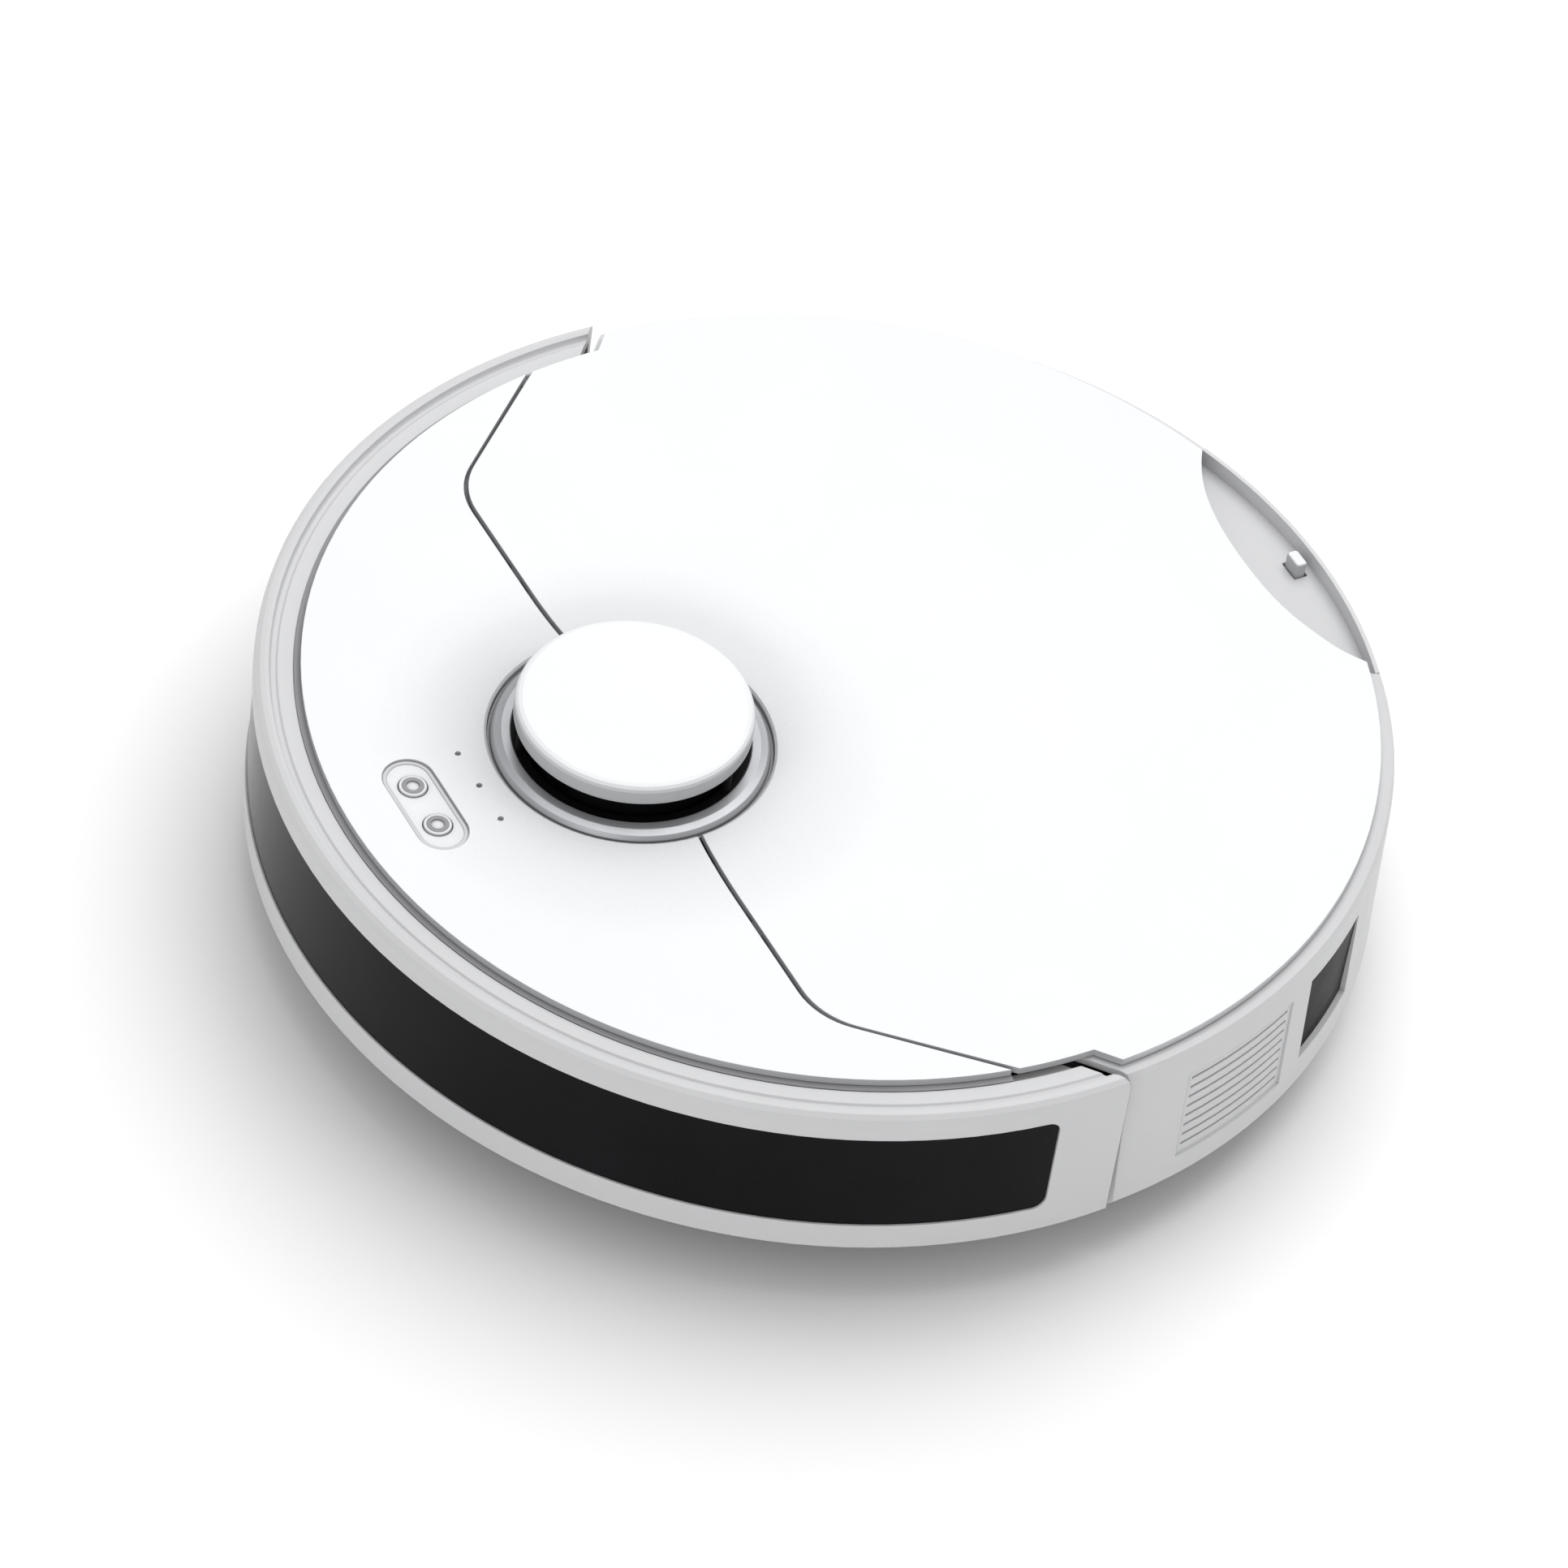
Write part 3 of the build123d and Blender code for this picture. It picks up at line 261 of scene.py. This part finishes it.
def add_piece(name, mesh, material, body, replaced=(), smooth=True):
    """Turn a bmesh into a piece that rides on a body."""
    data = bpy.data.meshes.new(name)
    bmesh.ops.recalc_face_normals(mesh, faces=mesh.faces)
    mesh.to_mesh(data)
    mesh.free()
    piece = bpy.data.objects.new(name, data)
    bpy.context.scene.collection.objects.link(piece)
    data.materials.append(material)
    if smooth:
        data.shade_smooth()
        data.set_sharp_from_angle(angle=SMOOTH_ANGLE)
    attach(piece, body)
    if replaced:
        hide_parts(*replaced)


def bridge(mesh, rings, caps=True):
    """Skin a run of point rings, with end caps or with its end joined to its start."""
    rows = [[mesh.verts.new(p) for p in ring] for ring in rings]
    count = len(rows[0])
    for low, high in zip(rows, rows[1:] + (rows[:1] if not caps else [])):
        for k in range(count):
            n = (k + 1) % count
            mesh.faces.new((low[k], low[n], high[n], high[k]))
    if caps:
        mesh.faces.new(rows[0][::-1])
        mesh.faces.new(rows[-1])


def strand(mesh, root, tip, root_r, tip_r):
    """One bristle, a tapered four-sided prism."""
    way = (tip - root).normalized()
    side = way.orthogonal().normalized()
    other = way.cross(side)
    corners = (side, other, -side, -other)
    ends = ((root, root_r), (tip, tip_r))
    bridge(mesh, [[point + corner * radius for corner in corners] for point, radius in ends])


def block(mesh, low, high):
    """Plain block between two corners."""
    (x0, y0, z0), (x1, y1, z1) = low, high
    bridge(mesh, [
        [(x0, y0, z0), (x1, y0, z0), (x1, y1, z0), (x0, y1, z0)],
        [(x0, y0, z1), (x1, y0, z1), (x1, y1, z1), (x0, y1, z1)],
    ])


def circle(steps):
    """Angles once round."""
    return [2 * math.pi * k / steps for k in range(steps)]


def lathe_x(mesh, profile, y, z, steps):
    """Closed outline of (x, radius) points turned about an axis along X."""
    rings = []
    for turn in circle(steps):
        rings.append([(x, y + r * math.cos(turn), z + r * math.sin(turn)) for x, r in profile])
    bridge(mesh, rings, caps=False)


def centre_of(node):
    """Middle of a CAD node's box."""
    low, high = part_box(node)
    return (low + high) / 2


# ---- main brush ----
BRUSH_CORE_R = 9 * MM
BRUSH_TIP_R = 21.7 * MM
BRUSH_TWIST = math.radians(55)
BLADE_STEPS = 64
BLADE_SHAPE = (             # radius and half thickness, root to tip
    (BRUSH_CORE_R * 0.97, 1.9 * MM),
    (15 * MM, 0.8 * MM),
    (BRUSH_TIP_R - 1 * MM, 0.6 * MM),
    (BRUSH_TIP_R, 0.45 * MM),
)
TUFTS_IN_ROW = 46
BRISTLES_IN_TUFT = 9
BRISTLE_R = (0.17 * MM, 0.11 * MM)     # root and tip
BRISTLE_LEAN = (0.5 * MM, 1.5 * MM)
BRISTLE_TRIM = (0.94, 0.99)            # share of the brush's radius


def chevron_line(places, phase):
    """Points on the brush's axis at shares of its length, each with a row's two directions there."""
    low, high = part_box("brush_bristles")
    axis = centre_of("brush_core")
    line = []
    for t in places:
        turn = phase + BRUSH_TWIST * (1 - abs(2 * t - 1))
        out = Vector((0, math.cos(turn), math.sin(turn)))
        side = Vector((0, -math.sin(turn), math.cos(turn)))
        line.append((Vector((low.x + t * (high.x - low.x), axis.y, axis.z)), out, side))
    return line


def make_brush_blades(rubber):
    """Three chevron rubber blades."""
    blades = bmesh.new()
    places = [k / BLADE_STEPS for k in range(BLADE_STEPS + 1)]
    for row in range(3):
        rings = []
        for centre, out, side in chevron_line(places, math.radians(120 * row)):
            ring = [centre + out * r + side * w for r, w in BLADE_SHAPE]
            ring += [centre + out * r - side * w for r, w in reversed(BLADE_SHAPE)]
            rings.append(ring)
        bridge(blades, rings)
    add_piece("brush_rubber_rows", blades, rubber, "main_brush", ["brush_rubber_blades"])


def make_brush_tufts(bristle):
    """Three chevron rows of bristle tufts, between the blades."""
    low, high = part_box("brush_bristles")
    tufts = bmesh.new()
    places = [(k + 0.5) / TUFTS_IN_ROW for k in range(TUFTS_IN_ROW)]
    for row in range(3):
        for centre, out, side in chevron_line(places, math.radians(60 + 120 * row)):
            for _ in range(BRISTLES_IN_TUFT):
                lean = side * random.uniform(-1, 1) + Vector((random.uniform(-1, 1), 0, 0))
                root = centre + out * BRUSH_CORE_R * 0.96 + lean * BRISTLE_LEAN[0]
                tip_r = BRUSH_TIP_R * random.uniform(*BRISTLE_TRIM)
                tip = centre + out * tip_r + lean * BRISTLE_LEAN[1]
                tip.x = min(max(tip.x, low.x), high.x)
                strand(tufts, root, tip, *BRISTLE_R)
    add_piece("brush_tufts", tufts, bristle, "main_brush", ["brush_bristles"], smooth=False)


# ---- side brush ----
SIDE_ARMS = (60, 180, 300)             # degrees from the outward direction
SIDE_BRISTLES = 70
SIDE_ROOT = (30, 6.0, 1.4)             # distance out, height, half width of the fan, mm
SIDE_MIDDLE = (46, 5.2, 2.4)
SIDE_REACH = (56.5, 58.0)              # where the tips end, mm
SIDE_TIP_RISE = 1.2
SIDE_TIP_HALF = 3.6
SIDE_R = (0.16 * MM, 0.15 * MM, 0.1 * MM)   # root, middle, tip
FERRULE = ((29, 2.6), (29.6, 3.0), (34.4, 3.0), (35, 2.6))   # distance out, half width, mm
FERRULE_FLAT = 0.9                     # how much less high than wide


def fan_point(hub, out, side, place, spread, rise):
    """Point of one bristle at a place along its fan."""
    reach, height, half = place
    return hub + out * reach * MM + side * spread * half * MM + Vector((0, 0, (height + rise) * MM))


def side_tuft(tufts, hub, out, side, floor):
    """One fan of bristles, spread toward its tips and drooping to the floor."""
    for _ in range(SIDE_BRISTLES):
        spread = random.uniform(-1, 1)
        rise = random.uniform(-1, 1)
        root = fan_point(hub, out, side, SIDE_ROOT, spread, rise)
        middle = fan_point(hub, out, side, SIDE_MIDDLE, spread, rise * 0.9)
        place = (random.uniform(*SIDE_REACH), 0, SIDE_TIP_HALF)
        tip = fan_point(hub, out, side, place, spread, 0)
        tip.z = floor + (SIDE_TIP_RISE + rise) * MM
        strand(tufts, root, middle, *SIDE_R[:2])
        strand(tufts, middle, tip, *SIDE_R[1:])


def ferrule(tufts, hub, out, side):
    """Oval sleeve that ties a tuft at its root."""
    rings = []
    for reach, half in FERRULE:
        centre = hub + out * reach * MM + Vector((0, 0, SIDE_ROOT[1] * MM))
        across, tall = side * half * MM, Vector((0, 0, (half - FERRULE_FLAT) * MM))
        rings.append([centre + across * math.cos(a) + tall * math.sin(a) for a in circle(20)])
    bridge(tufts, rings)


def make_side_brush(bristle):
    """Three tufts, each tied at its root."""
    hub = centre_of("side_brush_motor")
    hub.z = 0
    low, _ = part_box("side_bristles")
    outward = math.atan2(hub.y, hub.x)
    tufts = bmesh.new()
    for turn in SIDE_ARMS:
        angle = outward + math.radians(turn)
        out = Vector((math.cos(angle), math.sin(angle), 0))
        side = Vector((-out.y, out.x, 0))
        side_tuft(tufts, hub, out, side, low.z)
        ferrule(tufts, hub, out, side)
    add_piece("side_brush_tufts", tufts, bristle, "edge_brush", ["side_bristles"])


# ---- wheels ----
TREAD_BLOCKS = 40
TREAD_PITCH = 2 * math.pi / TREAD_BLOCKS
TREAD_DEPTH = 2.0 * MM
TREAD_EDGE = 0.4 * MM
TREAD_SLANT = TREAD_PITCH * 0.45
TREAD_LEVELS = (            # drop below the top, inset at the middle and at the rim, share of pitch
    (TREAD_DEPTH + TREAD_EDGE, 0.6 * MM, 0.7 * MM, 0.34),
    (TREAD_EDGE, 0.69 * MM, 0.82 * MM, 0.325),
    (0.0, 0.96 * MM, 1.18 * MM, 0.28),
)
TYRE_DEPTH = 6.0 * MM
TYRE_CHAMFER = 1 * MM
TYRE_STEPS = 120
CASTER_STEPS = 72
CASTER_HALF = [             # share of half width, share of radius, hub to middle of the tread
    (-1.0, 0.15), (-1.0, 0.42), (-0.8, 0.46), (-0.8, 0.74), (-1.0, 0.8), (-0.98, 0.92),
    (-0.82, 0.99), (-0.4, 1.0), (-0.36, 0.95), (-0.22, 0.95), (-0.18, 1.0),
]


def wheel_size(node):
    """Middle, radius and half width of a wheel's CAD node."""
    low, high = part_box(node)
    return (low + high) / 2, (high.z - low.z) / 2, (high.x - low.x) / 2


def tread_block(middle, radius, half, row, start):
    """Rings of one slanted tread block, narrower toward its top."""
    rings = []
    for drop, at_middle, at_rim, share in TREAD_LEVELS:
        r = radius - drop
        inner, outer = row * at_middle, row * (half - at_rim)
        wide = TREAD_PITCH * share
        corners = (
            (inner, start - wide), (inner, start + wide),
            (outer, start + wide + TREAD_SLANT), (outer, start - wide + TREAD_SLANT),
        )
        rings.append([middle + Vector((x, r * math.cos(a), r * math.sin(a))) for x, a in corners])
    return rings


def make_tyre(word, rubber):
    """Tyre with a slanted block tread in two rows."""
    middle, radius, half = wheel_size(f"tyre_{word}")
    base = radius - TREAD_DEPTH
    inner = radius - TYRE_DEPTH
    profile = [
        (-half, inner), (half, inner), (half, base - TYRE_CHAMFER), (half - TYRE_CHAMFER, base),
        (TYRE_CHAMFER - half, base), (-half, base - TYRE_CHAMFER),
    ]
    tyre = bmesh.new()
    lathe_x(tyre, [(middle.x + x, r) for x, r in profile], middle.y, middle.z, TYRE_STEPS)
    for k in range(TREAD_BLOCKS):
        for row in (-1, 1):
            start = k * TREAD_PITCH + (TREAD_PITCH / 2 if row > 0 else 0)
            bridge(tyre, tread_block(middle, radius, half, row, start))
    add_piece(f"tread_tyre_{word}", tyre, rubber, f"wheel_{word}", [f"tyre_{word}"])


def make_caster_wheel(rubber):
    """Small wheel with a raised hub and two grooves."""
    middle, radius, half = wheel_size("caster_wheel")
    shape = CASTER_HALF + [(-x, r) for x, r in reversed(CASTER_HALF)]
    wheel = bmesh.new()
    lathe_x(wheel, [(middle.x + x * half, r * radius) for x, r in shape], middle.y, middle.z, CASTER_STEPS)
    add_piece("caster_tyre", wheel, rubber, "caster_roller", ["caster_wheel"])


# ---- springs ----
COIL_STEPS = 28             # points round one turn
WIRE_STEPS = 8
TORSION_COIL = {"turns": 3.2, "pitch": 1.3 * MM, "radius": 4.6 * MM, "wire": 0.6 * MM}
TORSION_INSET = 5.0 * MM
BUMPER_COIL = {"turns": 5.5, "pitch": 1.65 * MM, "radius": 3.2 * MM, "wire": 0.35 * MM}
BUMPER_COIL_X = 40 * MM
BUMPER_COIL_INSET = 0.4 * MM


def coil(mesh, start, way, turns, pitch, radius, wire):
    """Round wire wound about a line."""
    side = way.orthogonal().normalized()
    other = way.cross(side)
    rings = []
    for k in range(int(turns * COIL_STEPS) + 1):
        a = 2 * math.pi * k / COIL_STEPS
        out = side * math.cos(a) + other * math.sin(a)
        centre = start + way * (pitch * k / COIL_STEPS) + out * radius
        rings.append([centre + (out * math.cos(b) + way * math.sin(b)) * wire for b in circle(WIRE_STEPS)])
    bridge(mesh, rings)


def make_torsion_springs(steel):
    """Wound wire round each wheel arm's pivot pin."""
    _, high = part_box("torsion_springs")
    middle = centre_of("torsion_springs")
    wound = bmesh.new()
    for side in (-1, 1):
        start = Vector((side * (high.x - TORSION_INSET), middle.y, middle.z))
        coil(wound, start, Vector((side, 0, 0)), **TORSION_COIL)
    add_piece("wound_torsion_springs", wound, steel, "chassis", ["torsion_springs"])


def make_bumper_springs(steel):
    """Wound wire round each bumper peg."""
    _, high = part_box("bumper_springs")
    middle = centre_of("bumper_springs")
    wound = bmesh.new()
    for side in (-1, 1):
        start = Vector((side * BUMPER_COIL_X, high.y - BUMPER_COIL_INSET, middle.z))
        coil(wound, start, Vector((0, -1, 0)), **BUMPER_COIL)
    add_piece("wound_bumper_springs", wound, steel, "chassis", ["bumper_springs"])


# ---- filter and board ----
PLEATS = 15
FILTER_FRAME = 1.2 * MM
PAPER_T = 0.35 * MM
CHIPS = (                   # x, y, width, depth, height, mm from the board's corner
    (10, 10, 16, 16, 1.6), (36, 14, 9, 9, 1.2), (58, 12, 12, 8, 1.4), (34, 34, 10, 6, 1.2),
    (6, 36, 7, 5, 1.0), (20, 36, 7, 5, 1.0), (70, 30, 6, 10, 1.8),
)
PLUGS = 6
PLUG_SIZE = (10, 6, 5.5)
CAPACITORS = 4
CAPACITOR_SHAPE = ((0, 3), (5.6, 3), (6, 2.6))   # height and radius in mm


def make_filter(paper):
    """Pleated paper in a thin frame."""
    low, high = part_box("dust_filter")
    width = (high.y - low.y - 2 * FILTER_FRAME) / (2 * PLEATS)
    front, back = low.x + FILTER_FRAME, high.x - FILTER_FRAME
    first = low.y + FILTER_FRAME
    pleats = bmesh.new()
    rings = []
    for z in (low.z + FILTER_FRAME, high.z - FILTER_FRAME):
        ridge = [(front if k % 2 else back, first + k * width, z) for k in range(2 * PLEATS + 1)]
        rings.append(ridge + [(x + PAPER_T, y, z) for x, y, z in reversed(ridge)])
    bridge(pleats, rings)
    for z0, z1 in ((low.z, low.z + FILTER_FRAME), (high.z - FILTER_FRAME, high.z)):
        block(pleats, (low.x, low.y, z0), (high.x, high.y, z1))
    for y0, y1 in ((low.y, first), (high.y - FILTER_FRAME, high.y)):
        block(pleats, (low.x, y0, low.z + FILTER_FRAME), (high.x, y1, high.z - FILTER_FRAME))
    add_piece("filter_pleats", pleats, paper, "chassis", ["dust_filter"], smooth=False)


def make_board_parts(chip):
    """Chips, plugs and capacitors on the main board."""
    low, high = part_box("main_board")
    parts = bmesh.new()
    for x, y, wide, deep, tall in CHIPS:
        corner = Vector((low.x + x * MM, low.y + y * MM, high.z))
        block(parts, corner, corner + Vector((wide, deep, tall)) * MM)
    for k in range(PLUGS):
        corner = Vector((low.x + (5 + 14 * k) * MM, high.y - 9 * MM, high.z))
        block(parts, corner, corner + Vector(PLUG_SIZE) * MM)
    for k in range(CAPACITORS):
        centre = Vector((low.x + (8 + 12 * k) * MM, low.y + 48 * MM, high.z))
        rings = []
        for rise, r in CAPACITOR_SHAPE:
            rings.append([centre + Vector((r * math.cos(a), r * math.sin(a), rise)) * MM for a in circle(24)])
        bridge(parts, rings)
    add_piece("board_components", parts, chip, "chassis")


# ---- seam ----
SEAM_Y = -68.2 * MM
SEAM_CORNER = 119.6 * MM
SEAM_SIDE = Vector((157.0, -26.6)) * MM
SEAM_ROUND = 10 * MM
SEAM_STEPS = 8              # points round the corner
SEAM_STRIP_HALF = 3.2 * MM
SEAM_STRIP_Z = (75.9 * MM, 76.9 * MM)
SEAM_STRIP_START = 51 * MM
HOOK_GAP = (73 * MM, 87 * MM)


def seam_path():
    """Points along the left half of the seam, from its hook gap to the body's side."""
    corner = Vector((SEAM_CORNER, SEAM_Y))
    before = corner - Vector((SEAM_ROUND, 0))
    after = corner + (SEAM_SIDE - corner).normalized() * SEAM_ROUND
    points = [Vector((HOOK_GAP[1], SEAM_Y))]
    for k in range(SEAM_STEPS + 1):
        t = k / SEAM_STEPS
        points.append((1 - t) ** 2 * before + 2 * t * (1 - t) * corner + t * t * after)
    points.append(SEAM_SIDE)
    return points


def bar_section(a, b, z):
    """Four corners of a flat bar's section between two plan points."""
    return [(a.x, a.y, z[0]), (b.x, b.y, z[0]), (b.x, b.y, z[1]), (a.x, a.y, z[1])]


def ribbon(mesh, points, half, z):
    """Flat bar of one width along a line of points."""
    rings = []
    for k, point in enumerate(points):
        way = (points[min(k + 1, len(points) - 1)] - points[max(k - 1, 0)]).normalized()
        side = Vector((-way.y, way.x)) * half
        rings.append(bar_section(point + side, point - side, z))
    bridge(mesh, rings)


def make_seam_shade_strip(gap_shade):
    """Grey strip below the seam, painted shade of the seam's gap, open where the lid's hooks pass."""
    strip = bmesh.new()
    outer = seam_path()
    inner = [Vector((SEAM_STRIP_START, SEAM_Y)), Vector((HOOK_GAP[0], SEAM_Y))]
    for side in (-1, 1):
        for path in (outer, inner):
            ribbon(strip, [Vector((side * p.x, p.y)) for p in path], SEAM_STRIP_HALF, SEAM_STRIP_Z)
    add_piece("seam_shade_strip", strip, gap_shade, "chassis")


# ---- rings of painted shade in gaps ----
RING_STEPS = 128
FULL_TURN = (0.0, 360.0)
TURRET = Vector((0, -69.0)) * MM
TURRET_RING = ((42.25 * MM, 43.1 * MM), (78.6 * MM, 80.9 * MM))     # radii, heights
COVER_RING = ((159.2 * MM, 163.0 * MM), (77.2 * MM, 77.45 * MM))
COVER_ARC = (189.0, 351.0)
KEY_SPOT = Vector((8.5, -137.0)) * MM
KEY_RING = ((2.0 * MM, 3.4 * MM), (79.35 * MM, 79.86 * MM))
SURROUND_HALF = 11.5 * MM
SURROUND_R = (6.6 * MM, 7.7 * MM)
SURROUND_Z = (79.2 * MM, 79.4 * MM)
CAPSULE_STEPS = 24          # steps round each end


def flat_ring(name, centre, size, material, body, arc=FULL_TURN):
    """Flat ring, or part of one, with its radii and heights."""
    radii, z = size
    whole = arc == FULL_TURN
    rings = []
    for k in range(RING_STEPS if whole else RING_STEPS + 1):
        turn = math.radians(arc[0] + (arc[1] - arc[0]) * k / RING_STEPS)
        way = Vector((math.cos(turn), math.sin(turn)))
        rings.append(bar_section(centre + way * radii[0], centre + way * radii[1], z))
    mesh = bmesh.new()
    bridge(mesh, rings, caps=not whole)
    add_piece(name, mesh, material, body)


def capsule_path(radius):
    """Closed line of points round the keys."""
    points = []
    for side, first in ((1, -90), (-1, 90)):
        for k in range(CAPSULE_STEPS + 1):
            turn = math.radians(first + 180 * k / CAPSULE_STEPS)
            along = side * SURROUND_HALF + radius * math.cos(turn)
            points.append(Vector((along, KEY_SPOT.y + radius * math.sin(turn))))
    return points


def make_gap_shade_rings(gap_shade, outline_shade):
    """Grey rings of painted shade in the gaps round the turret, under the cover's edge and on the keys, and a
    light grey band of painted shade along the keys' surround.
    """
    # painted shade: grey rings that darken the gaps as shade would
    flat_ring("turret_gap_shade", TURRET, TURRET_RING, gap_shade, "chassis")
    flat_ring("cover_gap_shade", Vector((0, 0)), COVER_RING, gap_shade, "bumper", COVER_ARC)
    for side, body in ((1, "power_key"), (-1, "home_key")):
        spot = Vector((side * KEY_SPOT.x, KEY_SPOT.y))
        flat_ring(f"{body}_ring", spot, KEY_RING, gap_shade, body)
    mesh = bmesh.new()
    # painted shade: light grey band along the capsule's outline
    inner, outer = (capsule_path(radius) for radius in SURROUND_R)
    bridge(mesh, [bar_section(a, b, SURROUND_Z) for a, b in zip(inner, outer)], caps=False)
    add_piece("key_surround", mesh, outline_shade, "chassis")


# ---- finishes ----
MOULDED = {
    # shade below 1 paints shade into the corners of the white and the silver grey
    "white_gloss": dict(colour=(0.75, 0.76, 0.775), rough=0.2, shade=0.58, grain=900.0, depth=0.006,
                        strength=0.12, vary=0.006, specular=0.35),
    "light_grey_satin": dict(colour=(0.575, 0.577, 0.585), rough=0.42, depth=0.012, vary=0.012),
    "smoked_window": dict(colour=(0.004, 0.004, 0.005), rough=0.16, grain=500.0, depth=0.004,
                          strength=0.1, vary=0.3, specular=0.08),
    "side_window": dict(colour=(0.006, 0.006, 0.007), rough=0.3, specular=0.3, ior=1.1),
    "silver_grey": dict(colour=(0.46, 0.465, 0.485), rough=0.34, shade=0.8, metal=0.55, depth=0.012),
    "black_grain": dict(colour=(0.022, 0.022, 0.025), rough=0.55, grain=1500.0, depth=0.04,
                        strength=0.4, vary=0.15),
    "slot_black": dict(colour=(0.004, 0.004, 0.0045), rough=0.5, specular=0.1, vary=0.2),
    "rubber": dict(colour=(0.028, 0.028, 0.03), rough=0.72, grain=1900.0, depth=0.05,
                   strength=0.4, vary=0.15),
    "nylon_bristle": dict(colour=(0.03, 0.035, 0.05), rough=0.38, grain=3000.0, vary=0.35),
    "bin_smoked": dict(colour=(0.10, 0.11, 0.12), rough=0.18, grain=700.0, depth=0.01, vary=0.1, coat=0.3),
    "filter_paper": dict(colour=(0.78, 0.78, 0.73), rough=0.9, grain=1700.0, depth=0.06,
                         strength=0.5, vary=0.06),
    "blue_plastic": dict(colour=(0.06, 0.11, 0.2), rough=0.42, vary=0.08),
    "solder_mask": dict(colour=(0.008, 0.085, 0.035), rough=0.3, grain=420.0, depth=0.03, vary=0.35),
    "chip_resin": dict(colour=(0.02, 0.02, 0.02), rough=0.5, vary=0.2),
    "battery_wrap": dict(colour=(0.02, 0.05, 0.2), rough=0.25, grain=300.0, depth=0.05, vary=0.1),
    "wheel_plastic": dict(colour=(0.16, 0.165, 0.175), rough=0.45, vary=0.06),
    # painted shade: light grey along the outline of the keys' capsule
    "painted_key_outline": dict(colour=(0.56, 0.56, 0.57), rough=0.5, vary=0.04),
    # painted shade: dark grey that stands in for the shade in gaps
    "painted_gap_shade": dict(colour=(0.26, 0.26, 0.27), rough=0.6, vary=0.05),
    "light_pipe": dict(colour=(0.62, 0.64, 0.66), rough=0.2, vary=0.05),
}
BRUSHED = {
    "drawn_steel": dict(colour=(0.62, 0.62, 0.63), rough=0.28),
    "nickel_contact": dict(colour=(0.78, 0.75, 0.68), rough=0.2, stretch=(4, 60, 4)),
}
NODE_FINISHES = {
    "white_gloss": ("front_cover", "lid", "turret_cap", "latch_button", "power_button", "home_button"),
    "light_grey_satin": ("bumper_shell", "rear_shell"),
    "side_window": ("side_windows",),
    "smoked_window": ("sensor_window", "cliff_windows", "scan_lenses"),
    "silver_grey": ("collar_ring",),
    "slot_black": ("scan_rotor", "cap_posts"),
    "black_grain": (
        "chassis_pan", "inner_deck", "battery_cover", "brush_housing", "brush_frame", "wheel_housings",
        "caster_housing", "caster_fork", "scan_base", "suspension_arm_left", "suspension_arm_right",
        "bump_lever_left", "bump_lever_right", "blower_housing", "bump_switches", "brush_gearbox",
        "side_brush_motor",
    ),
    "drawn_steel": ("hinge_pins", "screws", "pivot_pins", "caster_axle", "scan_motor"),
    "rubber": ("scan_belt",),
    "bin_smoked": ("dust_bin", "dust_bin_lid"),
    "blue_plastic": ("brush_core", "side_brush", "impeller", "scan_pulley", "scan_motor_pulley"),
    "solder_mask": ("main_board",),
    "battery_wrap": ("battery",),
    "wheel_plastic": ("wheel_rim_left", "wheel_rim_right"),
    "light_pipe": ("status_lights",),
    "nickel_contact": ("charging_contacts",),
}


def make_finishes():
    """Every material, by name."""
    finishes = {name: moulded(name, **look) for name, look in MOULDED.items()}
    finishes.update({name: brushed(name, **look) for name, look in BRUSHED.items()})
    return finishes


def finish_nodes(finishes):
    """Give each CAD node that stays visible its material."""
    for finish, names in NODE_FINISHES.items():
        for name in names:
            data = NODES[name].data
            data.materials.clear()
            data.materials.append(finishes[finish])


def make_pieces(finishes):
    """Every piece that is finer than its CAD node."""
    rubber, bristle, steel = finishes["rubber"], finishes["nylon_bristle"], finishes["drawn_steel"]
    make_seam_shade_strip(finishes["painted_gap_shade"])
    make_gap_shade_rings(finishes["painted_gap_shade"], finishes["painted_key_outline"])
    make_brush_blades(rubber)
    make_brush_tufts(bristle)
    make_side_brush(bristle)
    make_tyre("left", rubber)
    make_tyre("right", rubber)
    make_caster_wheel(rubber)
    make_torsion_springs(steel)
    make_bumper_springs(steel)
    make_filter(finishes["filter_paper"])
    make_board_parts(finishes["chip_resin"])


make_camera()
make_floor()
make_studio()
materials = make_finishes()
finish_nodes(materials)
make_pieces(materials)
